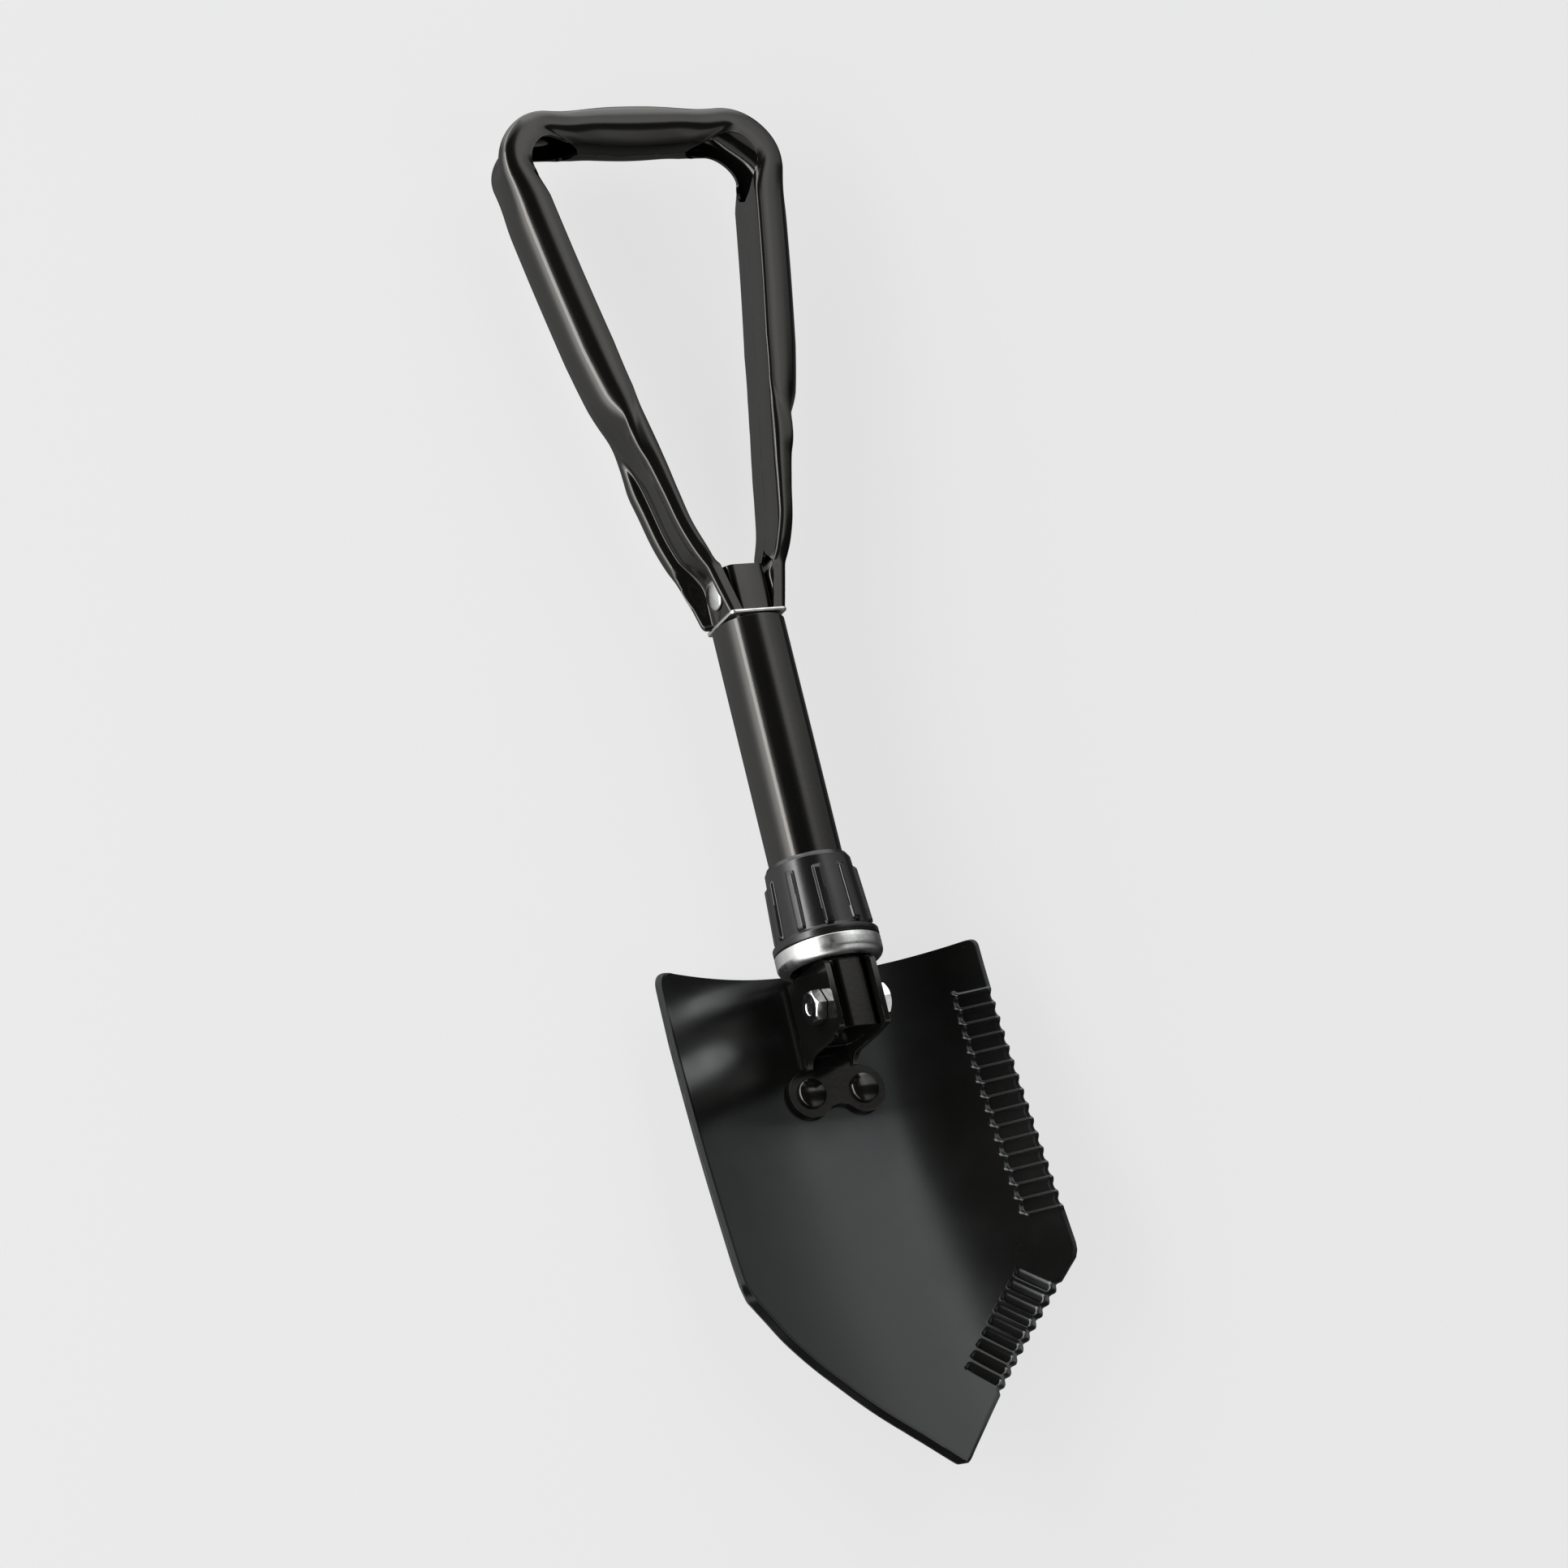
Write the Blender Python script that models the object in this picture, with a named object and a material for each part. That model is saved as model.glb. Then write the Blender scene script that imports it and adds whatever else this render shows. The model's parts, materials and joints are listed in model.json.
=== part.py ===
"""Folding camp shovel: a pressed blade, a tubular shaft with a screw collar, and a folding D handle.

Lengths in this file are millimetres. While a piece is drawn, X runs across the blade, Y runs along
the shaft from the blade towards the handle and Z points out of the blade's hollow side. Y = 0 is just
under the locking ring, and Z = 0 is the shaft's centre line. placed() turns the drawing into metres
and moves it so that the world origin is at the bottom centre of the whole object's box.
"""

import math

import bmesh
import bpy
from mathutils import Matrix, Vector

MM = 0.001
GAP = 0.3  # clearance between touching pieces

# Blade
BLADE_HALF = 78.6  # half width where it is widest
BLADE_SHEET = 1.8
BLADE_TIP_Y = -213.9
BLADE_WIDE_Y = -132.0
BLADE_TOP_Y = 8.0
BLADE_TOP_CURVE = 5.0  # how much higher the top corners stand than the middle of the top edge
BLADE_FLOOR_Z = -23.8  # hollow side of the flat under the bracket
BLADE_FLAT_HALF = 22.0
BLADE_FLAT_END_Y = -55.0
BLADE_EDGE_TOP_Z = -7.5
BLADE_EDGE_WIDE_Z = 6.5
BLADE_TIP_Z = 9.6
BLADE_COLUMNS = 14
SAW_PITCH = 6.75
SAW_TEETH = 15
SAW_TOP_Y = -11.1
SAW_DEPTH = 1.0
LOW_SAW_TEETH = 9
LOW_SAW_PITCH_Y = 4.5  # pitch measured along Y on the slanted edge
LOW_SAW_TOP_Y = -145.5
LOW_SAW_DEPTH = 1.4

# Fold pivot and the bracket on the blade
PIVOT_Y = -14.3
PIVOT_Z = 4.0
EAR_OUT = 12.0
EAR_SHEET = 2.4
EAR_FRONT_Z = 17.0
EAR_TOP_Y = 3.2
EAR_LOW_Y = -28.0
EAR_CORNER_R = 3.5
BRACKET_FOOT_Z = BLADE_FLOOR_Z + GAP  # face of the bracket that lies on the blade
BRACKET_SHEET = 2.3
LOBE_X = 12.5
LOBE_Y = -44.5
LOBE_R = 10.3
WAIST_Y = -50.0
TOP_RIVET_Y = -9.0
RIVET_R = 3.0
RIVET_HEAD_R = 6.5
RIVET_HEAD_H = 3.0
RIVET_TAIL_R = 4.8
RIVET_TAIL_H = 1.8
TOP_RIVET_HEAD_H = 1.2  # flattened, so the tongue turns clear of it

# Pivot bolt, M8
BOLT_R = 4.0
HEX_FLAT_R = 6.5
BOLT_HEAD_H = 5.0
NUT_H = 6.5
BOLT_END_X = 20.0

# Shaft tube
TUBE_R = 16.0
TUBE_WALL = 1.5
TUBE_TOP_Y = 159.4
TUBE_ROUND_Y = 20.0
TONGUE_TOP_Y = 8.0
TONGUE_END_Y = -27.0
TONGUE_HALF_X = 9.2
TONGUE_HALF_Z = 15.0
TONGUE_CORNER = 6.0

# Screw collar and the zinc ring under it
SLEEVE_Y = (20.0, 48.0)
SLEEVE_OUT = 17.6
COLLAR_BORE = 18.0
COLLAR_Y = (12.5, 50.3)
COLLAR_FLANGE_R = 23.0
COLLAR_FLANGE_H = 3.5
COLLAR_BODY_R = 20.5
COLLAR_RIBS = 10
COLLAR_RIB_OUT = 1.3
COLLAR_RIB_Y = (17.5, 43.5)
RING_Y = (3.5, 12.2)
RING_R = 23.0
RING_BORE = 18.0

# Neck, spring and stop plate between the shaft and the handle
RIVET_AXIS_Y = 175.0
NECK_HALF_X = 10.0
NECK_HALF_Z = 11.0
NECK_CORNER = 5.0
NECK_WALL = 1.5
NECK_Y = (110.0, 184.5)
SEAT_Y = (112.0, 117.0)
SEAT_R = 14.2
PLATE_Y = (161.0, 162.5)
PLATE_HALF_X = 13.5
PLATE_HALF_Z = 14.0
SPRING_R = 13.65
SPRING_WIRE_R = 0.5
SPRING_TURNS = 8

# Handle frame, pressed from one sheet
HANDLE_SHEET = 1.4
HANDLE_HALF_Z = 12.4
GRIP_Y = 398.3
CORNER_X = 40.4
CORNER_R = 20.0
LEG_TOP_TILT = 12.0  # degrees between the top of a leg and the shaft's direction
EAR_END_Y = PLATE_Y[1] + GAP
SEAT_X = NECK_HALF_X + GAP + HANDLE_SHEET / 2 + 0.1  # middle of the sheet at the rivet
RIDGE_X = TUBE_R + 0.6 + HANDLE_SHEET / 2  # middle of the sheet beside the rivet seat
SEAT_FLAT_R = 9.8
SEAT_RIDGE_R = 11.4
EAR_SWING_R = 11.5  # the ear's rear corner is rounded to this radius, so it turns clear of the plate
HANDLE_RIVET_R = 3.2
HANDLE_RIVET_HEAD_R = 7.0

LEG_LINE = (
    (13.3, EAR_END_Y), (13.3, 170.0), (14.2, 179.0), (16.6, 184.0), (20.9, 190.0), (24.4, 205.0), (27.5, 221.0),
    (30.5, 238.0), (36.8, 262.0), (42.9, 290.0), (49.4, 323.0), (54.8, 350.0), (59.96, 374.1),
)  # X, Y of the middle of a leg, from the ear's end to the corner
LEG_HALF_WIDTHS = (
    (EAR_END_Y, 3.6), (190.0, 4.2), (205.0, 5.6), (238.0, 6.5), (262.0, 7.75), (290.0, 8.4),
    (350.0, 8.2), (380.0, 8.2),
)  # Y, half the leg's width in the plane of the frame
CORNER_HALF_WIDTH = 9.0
GRIP_HALF_WIDTH = 11.3
# Half sections of the frame from the outer face to the lip: outward share of the half width, then Z
ROUND_SECTION = (
    (1.0, 0.0), (0.97, 4.4), (0.84, 8.6), (0.35, 11.9), (-0.35, 12.4), (-0.85, 11.2), (-1.0, 7.5), (-1.0, 1.6),
)
OPEN_SECTION = (
    (1.0, 0.0), (0.97, 4.2), (0.88, 8.2), (0.55, 11.3), (0.1, 12.3), (-0.35, 12.4), (-0.7, 12.2), (-1.0, 11.7),
)
VALLEY_SECTION = (
    (-0.5, 0.0), (-0.3, 2.6), (0.45, 6.3), (0.95, 9.0), (0.75, 11.3), (-0.1, 12.4), (-0.95, 11.2), (-1.0, 4.5),
)
GRIP_SECTION = (
    (1.0, 0.0), (0.95, 4.6), (0.74, 8.6), (0.3, 11.5), (-0.2, 11.8), (-0.62, 9.9), (-0.93, 6.0), (-1.0, 1.2),
)
EAR_SECTION_Z = (0.0, 3.4, 6.8, 9.6, 10.5, 11.3, 11.9, 12.4)
VALLEY_ENDS_Y = (246.0, 266.0)
EAR_BLEND_Y = (184.0, 198.0)
OPEN_LEG_Y = (350.0, 372.0)  # the legs' lips part between these heights
OPEN_GRIP_X = (24.0, 40.0)  # and the grip's lips close between these distances from its middle

# Left outline of the blade below its top corner, as half widths at Y
LEFT_OUTLINE = (
    (13.0, 70.0), (6.0, 76.6), (-20.0, 78.4), (-70.0, 78.6), (-118.0, 78.5), (-132.0, 77.2), (-151.5, 66.6),
    (-180.5, 41.5), (-207.1, 12.5), (BLADE_TIP_Y, 4.0),
)
RIGHT_OUTLINE = (
    (13.0, 75.5), (10.0, 76.6), (-20.0, 77.4), (-70.0, 78.3), (-118.0, 78.6), (-130.0, 78.6), (-134.0, 76.8),
    (-166.0, 46.0), (-200.0, 15.0), (-211.0, 7.0), (BLADE_TIP_Y, 4.0),
)

TIP_LEAN = 0.56  # how far the slanted sheet's rear face reaches past the tip
ORIGIN = Vector((0.0, (BLADE_TIP_Y - TIP_LEAN + GRIP_Y + GRIP_HALF_WIDTH + HANDLE_SHEET / 2) / 2, 0.0))
ORIGIN.z = BLADE_FLOOR_Z - BLADE_SHEET - GAP - RIVET_TAIL_H  # the rivet tails are the lowest points
PIVOT = Vector((0.0, PIVOT_Y, PIVOT_Z))
HANDLE_AXIS = Vector((0.0, RIVET_AXIS_Y, 0.0))
TURN_TO_X = Matrix.Rotation(math.radians(-90.0), 4, "Z")
TURN_TO_Z = Matrix.Rotation(math.radians(90.0), 4, "X")


def clear_scene():
    for thing in list(bpy.data.objects):
        bpy.data.objects.remove(thing, do_unlink=True)


def make_material(name, colour, roughness, metallic):
    material = bpy.data.materials.new(name)
    material.use_nodes = True
    shader = material.node_tree.nodes["Principled BSDF"]
    shader.inputs["Base Color"].default_value = (*colour, 1.0)
    shader.inputs["Roughness"].default_value = roughness
    shader.inputs["Metallic"].default_value = metallic
    return material


def enamel(name):
    return make_material(name, (0.02, 0.018, 0.017), 0.25, 0.0)


def zinc(name):
    return make_material(name, (0.72, 0.72, 0.73), 0.3, 1.0)


def smoothstep(low, high, value):
    share = min(max((value - low) / (high - low), 0.0), 1.0)
    return share * share * (3.0 - 2.0 * share)


def mix(a, b, share):
    return a + (b - a) * share


def along(table, key):
    """Value at key in a table of (key, value) pairs sorted either way, with straight runs between them."""
    for (k0, v0), (k1, v1) in zip(table, table[1:]):
        if (k0 - key) * (k1 - key) <= 0.0 and k0 != k1:
            return mix(v0, v1, (key - k0) / (k1 - k0))
    ends = min((table[0], table[-1]), key=lambda pair: abs(pair[0] - key))
    return ends[1]


def placed(name, mesh_edit, material, origin=Vector()):
    """Turn a drawing in millimetres into an object whose own origin is at the given point."""
    if all(edge.is_manifold for edge in mesh_edit.edges):
        bmesh.ops.recalc_face_normals(mesh_edit, faces=mesh_edit.faces[:])
    bmesh.ops.translate(mesh_edit, vec=-origin, verts=mesh_edit.verts[:])
    bmesh.ops.scale(mesh_edit, vec=(MM, MM, MM), verts=mesh_edit.verts[:])
    mesh = bpy.data.meshes.new(name)
    mesh_edit.to_mesh(mesh)
    mesh_edit.free()
    mesh.shade_smooth()
    mesh.set_sharp_from_angle(angle=math.radians(32.0))
    mesh.materials.append(material)
    thing = bpy.data.objects.new(name, mesh)
    thing.location = (origin - ORIGIN) * MM
    bpy.context.scene.collection.objects.link(thing)
    return thing


def solidify(thing, thickness, offset):
    """Give a sheet its thickness: along its face normals for an offset of 1, against them for -1."""
    modifier = thing.modifiers.new("Sheet", "SOLIDIFY")
    modifier.thickness = thickness * MM
    modifier.offset = offset
    modifier.use_even_offset = True


def combine(thing, other, operation):
    """Join another object to this one, or cut it out, and keep the other only as a guide."""
    other.hide_render = True
    other.display_type = "WIRE"
    modifier = thing.modifiers.new(other.name, "BOOLEAN")
    modifier.operation = operation
    modifier.object = other
    modifier.solver = "EXACT"


def skin(rings, closed_ends=False, closed_rings=True):
    """A mesh through a list of rings of equal length."""
    mesh_edit = bmesh.new()
    rows = [[mesh_edit.verts.new(point) for point in ring] for ring in rings]
    count = len(rows[0])
    for low, high in zip(rows, rows[1:]):
        for i in range(count if closed_rings else count - 1):
            j = (i + 1) % count
            mesh_edit.faces.new((low[i], low[j], high[j], high[i]))
    if closed_ends:
        mesh_edit.faces.new(rows[0][::-1])
        mesh_edit.faces.new(rows[-1])
    return mesh_edit


def turned(profile, steps, turn=Matrix(), loop=False):
    """Spin a profile of (radius, height) points round Y, then turn the result."""
    mesh_edit = bmesh.new()
    verts = [mesh_edit.verts.new((radius, height, 0.0)) for radius, height in profile]
    pairs = list(zip(verts, verts[1:]))
    if loop:
        pairs.append((verts[-1], verts[0]))
    edges = [mesh_edit.edges.new(pair) for pair in pairs]
    bmesh.ops.spin(
        mesh_edit, geom=verts + edges, cent=(0, 0, 0), axis=(0, 1, 0), angle=math.tau, steps=steps,
        use_merge=True,
    )
    bmesh.ops.remove_doubles(mesh_edit, verts=mesh_edit.verts[:], dist=0.001)
    bmesh.ops.transform(mesh_edit, matrix=turn, verts=mesh_edit.verts[:])
    return mesh_edit


def drum(name, radius, low, high, centre, turn=Matrix(), steps=24):
    """A plain closed cylinder, used as a cutter or a guide."""
    mesh_edit = turned(((0.0, low), (radius, low), (radius, high), (0.0, high)), steps, turn)
    bmesh.ops.translate(mesh_edit, vec=centre, verts=mesh_edit.verts[:])
    return placed(name, mesh_edit, make_material(name, (0.5, 0.5, 0.5), 0.5, 0.0))


def round_box(half_x, half_z, corner, y, per_corner=7):
    """Ring of points at height y: a rectangle with round corners, or a circle when all three are equal."""
    ring = []
    for quarter in range(4):
        sign_x = (1, -1, -1, 1)[quarter]
        sign_z = (1, 1, -1, -1)[quarter]
        for k in range(per_corner):
            angle = math.radians(90.0 * (quarter + (k + 0.5) / per_corner))
            x = sign_x * (half_x - corner) + corner * math.cos(angle)
            z = sign_z * (half_z - corner) + corner * math.sin(angle)
            ring.append(Vector((x, y, z)))
    return ring


def hexagon(flat_radius, y, per_side=4):
    """Ring of points on a hexagon, as many on each side, at height y."""
    ring = []
    for k in range(6 * per_side):
        angle = math.tau * k / (6 * per_side)
        to_flat = (angle + math.pi / 6) % (math.pi / 3) - math.pi / 6
        radius = flat_radius / math.cos(to_flat)
        ring.append(Vector((radius * math.cos(angle), y, radius * math.sin(angle))))
    return ring


def circle(radius, y, count):
    return [
        Vector((radius * math.cos(math.tau * k / count), y, radius * math.sin(math.tau * k / count)))
        for k in range(count)
    ]


def holed_plate(outer_ring, inner_ring, y_low, y_high):
    """A closed plate between two heights with the inner ring as its hole."""

    def at(ring, y):
        return [Vector((point.x, y, point.z)) for point in ring]

    rings = (at(outer_ring, y_low), at(outer_ring, y_high), at(inner_ring, y_high), at(inner_ring, y_low))
    mesh_edit = skin(rings + (rings[0],))
    bmesh.ops.remove_doubles(mesh_edit, verts=mesh_edit.verts[:], dist=0.001)
    return mesh_edit


def prism(outline, axis, low, high):
    """Extrude an outline of (a, b) points along X or Z between two values."""
    mesh_edit = bmesh.new()
    if axis == "X":
        points = [(low, a, b) for a, b in outline]
    else:
        points = [(a, b, low) for a, b in outline]
    face = mesh_edit.faces.new([mesh_edit.verts.new(point) for point in points])
    grown = bmesh.ops.extrude_face_region(mesh_edit, geom=[face])["geom"]
    step = Vector((high - low, 0, 0)) if axis == "X" else Vector((0, 0, high - low))
    bmesh.ops.translate(mesh_edit, vec=step, verts=[g for g in grown if isinstance(g, bmesh.types.BMVert)])
    return mesh_edit


def arc(centre_a, centre_b, radius, start, end, count):
    """Points on an arc, angles in degrees."""
    points = []
    for k in range(count + 1):
        angle = math.radians(mix(start, end, k / count))
        points.append((centre_a + radius * math.cos(angle), centre_b + radius * math.sin(angle)))
    return points


# ---------------------------------------------------------------- blade


def blade_edge_z(y):
    """Height of the blade's rim at its full width."""
    share = min(max((BLADE_TOP_Y + 4.0 - y) / (BLADE_TOP_Y + 4.0 - BLADE_WIDE_Y), 0.0), 1.0)
    return mix(BLADE_EDGE_TOP_Z, BLADE_EDGE_WIDE_Z, share**1.6)


def blade_floor_z(y):
    """Height of the blade along its middle line."""
    share = min(max((BLADE_FLAT_END_Y - y) / (BLADE_FLAT_END_Y - BLADE_TIP_Y), 0.0), 1.0)
    return mix(BLADE_FLOOR_Z, BLADE_TIP_Z, share**1.6)


def blade_z(x, y):
    """Height of the hollow face anywhere on the blade."""
    rise = blade_edge_z(y) - blade_floor_z(max(y, BLADE_WIDE_Y))
    share = max(abs(x) - BLADE_FLAT_HALF, 0.0) / (BLADE_HALF - BLADE_FLAT_HALF)
    return blade_floor_z(y) + rise * share**1.5


def saw_cut(y):
    """How far the toothed right edge is cut back at y."""
    for top, pitch, teeth, depth in (
        (SAW_TOP_Y, SAW_PITCH, SAW_TEETH, SAW_DEPTH),
        (LOW_SAW_TOP_Y, LOW_SAW_PITCH_Y, LOW_SAW_TEETH, LOW_SAW_DEPTH),
    ):
        turns = (top - y) / pitch
        if 0.0 <= turns <= teeth:
            return depth * (1.0 - abs(2.0 * (turns % 1.0) - 1.0))
    return 0.0


def blade_rows():
    """Heights of the blade's rows of points: at every tooth's root and tip, and closer at the corners."""
    rows = [BLADE_TOP_Y, 3.0, -4.0]
    rows += [SAW_TOP_Y - SAW_PITCH * k / 2 for k in range(2 * SAW_TEETH + 1)]
    rows += [-119.0, -126.0, -131.0, -134.0, -138.0, -142.0]
    rows += [LOW_SAW_TOP_Y - LOW_SAW_PITCH_Y * k / 2 for k in range(2 * LOW_SAW_TEETH + 1)]
    rows += [-190.0, -197.0, -203.0, -208.0, -211.5, BLADE_TIP_Y]
    return rows


def make_blade():
    rings = []
    for row_y in blade_rows():
        left = -along(LEFT_OUTLINE, row_y + BLADE_TOP_CURVE * (row_y == BLADE_TOP_Y))
        right = along(RIGHT_OUTLINE, row_y + BLADE_TOP_CURVE * (row_y == BLADE_TOP_Y)) - saw_cut(row_y)
        lift = BLADE_TOP_CURVE * smoothstep(-10.0, BLADE_TOP_Y, row_y)
        ring = []
        for i in range(BLADE_COLUMNS + 1):
            x = mix(left, right, i / BLADE_COLUMNS)
            y = row_y + lift * (x / BLADE_HALF) ** 2
            ring.append(Vector((x, y, blade_z(x, y))))
        rings.append(ring[::-1])
    mesh_edit = skin(rings, closed_rings=False)
    blade = placed("blade", mesh_edit, enamel("blade_enamel"), PIVOT)
    solidify(blade, BLADE_SHEET, -1.0)
    for name, x, y in rivet_places():
        cutter = drum(name + "_blade_hole", RIVET_R + GAP, -60.0, 0.0, (x, y, 0.0), TURN_TO_Z, 16)
        combine(blade, cutter, "DIFFERENCE")
    return blade


# ---------------------------------------------------------------- bracket and its rivets


def rivet_places():
    return (
        ("bracket_rivet_left", -LOBE_X, LOBE_Y),
        ("bracket_rivet_right", LOBE_X, LOBE_Y),
        ("bracket_rivet_top", 0.0, TOP_RIVET_Y),
    )


def foot_outline():
    """Outline of the bracket's foot: a strip under the ears that ends in two round lobes."""
    half = EAR_OUT - 0.3
    right = [(half, EAR_TOP_Y - 0.3), (half, -29.0)]
    right += arc(LOBE_X, LOBE_Y, LOBE_R, 80.0, -125.0, 14)
    middle = [(0.0, WAIST_Y)]
    left = [(-x, y) for x, y in reversed(right)]
    return right + middle + left


def ear_outline():
    """Side view of an ear as (Y, Z) points."""
    top = [(EAR_TOP_Y, BRACKET_FOOT_Z + 0.6)]
    r = EAR_CORNER_R
    top += arc(EAR_TOP_Y - r, EAR_FRONT_Z - r, r, 0.0, 90.0, 5)
    low = arc(EAR_LOW_Y + 2.0, EAR_FRONT_Z - 2.0, 2.0, 90.0, 180.0, 3)
    foot = [(EAR_LOW_Y - 1.2, 4.0), (EAR_LOW_Y - 1.6, -10.0)]
    foot += arc(EAR_LOW_Y - 8.6, BRACKET_FOOT_Z + 8.0, 7.0, 0.0, -70.0, 4)
    foot += [(EAR_LOW_Y - 6.4, BRACKET_FOOT_Z + 0.6)]
    return top + low + foot


def make_bracket():
    plate = prism(foot_outline(), "Z", BRACKET_FOOT_Z, BRACKET_FOOT_Z + BRACKET_SHEET)
    bracket = placed("blade_bracket", plate, enamel("bracket_enamel"), PIVOT)
    for side, name in ((-1, "ear_left"), (1, "ear_right")):
        inner = side * (EAR_OUT - EAR_SHEET)
        ear = prism(ear_outline(), "X", min(inner, side * EAR_OUT), max(inner, side * EAR_OUT))
        combine(bracket, placed(name, ear, enamel(name)), "UNION")
    bolt_hole = drum("bracket_bolt_hole", BOLT_R + GAP, -30.0, 30.0, PIVOT, TURN_TO_X)
    combine(bracket, bolt_hole, "DIFFERENCE")
    for name, x, y in rivet_places():
        cutter = drum(name + "_bracket_hole", RIVET_R + GAP, -60.0, 0.0, (x, y, 0.0), TURN_TO_Z, 16)
        combine(bracket, cutter, "DIFFERENCE")
    return bracket


def rivet_profile(head_height):
    """Domed head, shank and closed end of a bracket rivet, as (radius, height)."""
    seat = BRACKET_FOOT_Z + BRACKET_SHEET + GAP
    back = BLADE_FLOOR_Z - BLADE_SHEET - GAP
    dome = [
        (RIVET_HEAD_R * math.cos(math.radians(a)), seat + head_height * math.sin(math.radians(a)))
        for a in (68.0, 45.0, 22.0, 0.0)
    ]
    tail = [(RIVET_TAIL_R, back), (RIVET_TAIL_R * 0.8, back - RIVET_TAIL_H), (0.0, back - RIVET_TAIL_H)]
    return [(0.0, seat + head_height)] + dome + [(RIVET_R, seat), (RIVET_R, back)] + tail


def make_bracket_rivets():
    for name, x, y in rivet_places():
        head_height = TOP_RIVET_HEAD_H if x == 0.0 else RIVET_HEAD_H
        mesh_edit = turned(rivet_profile(head_height), 20, TURN_TO_Z)
        bmesh.ops.translate(mesh_edit, vec=(x, y, 0.0), verts=mesh_edit.verts[:])
        placed(name, mesh_edit, enamel(name), PIVOT)


# ---------------------------------------------------------------- pivot bolt


def make_pivot_bolt():
    head_seat = -(EAR_OUT + GAP)
    head_end = head_seat - BOLT_HEAD_H
    rings = [
        hexagon(HEX_FLAT_R - 0.7, head_end),
        hexagon(HEX_FLAT_R, head_end + 0.5),
        hexagon(HEX_FLAT_R, head_seat),
        circle(BOLT_R, head_seat, 24),
        circle(BOLT_R, BOLT_END_X - 0.8, 24),
        circle(BOLT_R - 0.8, BOLT_END_X, 24),
    ]
    mesh_edit = skin(rings, closed_ends=True)
    bmesh.ops.transform(mesh_edit, matrix=TURN_TO_X, verts=mesh_edit.verts[:])
    bmesh.ops.translate(mesh_edit, vec=PIVOT, verts=mesh_edit.verts[:])
    placed("pivot_bolt", mesh_edit, zinc("bolt_zinc"), PIVOT)


def make_pivot_nut():
    low = EAR_OUT + GAP
    mesh_edit = holed_plate(hexagon(HEX_FLAT_R, 0.0), circle(BOLT_R + GAP, 0.0, 24), low, low + NUT_H)
    bmesh.ops.transform(mesh_edit, matrix=TURN_TO_X, verts=mesh_edit.verts[:])
    bmesh.ops.translate(mesh_edit, vec=PIVOT, verts=mesh_edit.verts[:])
    placed("pivot_nut", mesh_edit, zinc("nut_zinc"), PIVOT)


def make_pivot_spacer():
    """Tube round the bolt that keeps the flattened tongue from being crushed."""
    half = TONGUE_HALF_X - TUBE_WALL - GAP
    mesh_edit = holed_plate(circle(6.6, 0.0, 24), circle(BOLT_R + GAP, 0.0, 24), -half, half)
    bmesh.ops.transform(mesh_edit, matrix=TURN_TO_X, verts=mesh_edit.verts[:])
    bmesh.ops.translate(mesh_edit, vec=PIVOT, verts=mesh_edit.verts[:])
    placed("pivot_spacer", mesh_edit, zinc("spacer_zinc"))


# ---------------------------------------------------------------- shaft


def make_shaft_tube():
    rings = []
    flatten = [mix(TONGUE_TOP_Y, TUBE_ROUND_Y, k / 5) for k in range(6)]
    for y in [TONGUE_END_Y, -8.0] + flatten + [TUBE_TOP_Y]:
        share = smoothstep(TONGUE_TOP_Y, TUBE_ROUND_Y, y)
        half_x = mix(TONGUE_HALF_X, TUBE_R, share)
        half_z = mix(TONGUE_HALF_Z, TUBE_R, share)
        rings.append(round_box(half_x, half_z, mix(TONGUE_CORNER, TUBE_R, share), y))
    mesh_edit = skin(rings)
    tube = placed("shaft_tube", mesh_edit, enamel("tube_enamel"))
    solidify(tube, TUBE_WALL, 1.0)
    combine(tube, drum("tongue_hole", BOLT_R + GAP, -30.0, 30.0, PIVOT, TURN_TO_X), "DIFFERENCE")


def make_thread_sleeve():
    inner = TUBE_R + GAP
    crest = SLEEVE_OUT
    root = SLEEVE_OUT - 0.7
    low, high = SLEEVE_Y
    profile = [(inner, low), (root, low)]
    threads = 5
    pitch = (high - low) / threads
    for k in range(threads):
        profile += [(crest, low + (k + 0.35) * pitch), (crest, low + (k + 0.65) * pitch)]
        profile.append((root, low + (k + 1.0) * pitch))
    profile.append((inner, high))
    placed("thread_sleeve", turned(profile, 28, loop=True), zinc("sleeve_zinc"))


def collar_ring_of(radius, y, rib):
    """Ring of the collar's outside at y: ten ribs stand out by the given height."""
    ring = []
    for k in range(COLLAR_RIBS):
        middle = math.tau * (k + 0.2) / COLLAR_RIBS
        for degrees, out in ((-13.0, 0.0), (-5.5, 0.0), (-4.0, 1.0), (4.0, 1.0), (5.5, 0.0), (13.0, 0.0)):
            angle = middle + math.radians(degrees)
            r = radius + rib * out
            ring.append(Vector((r * math.cos(angle), y, r * math.sin(angle))))
    return ring


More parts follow.
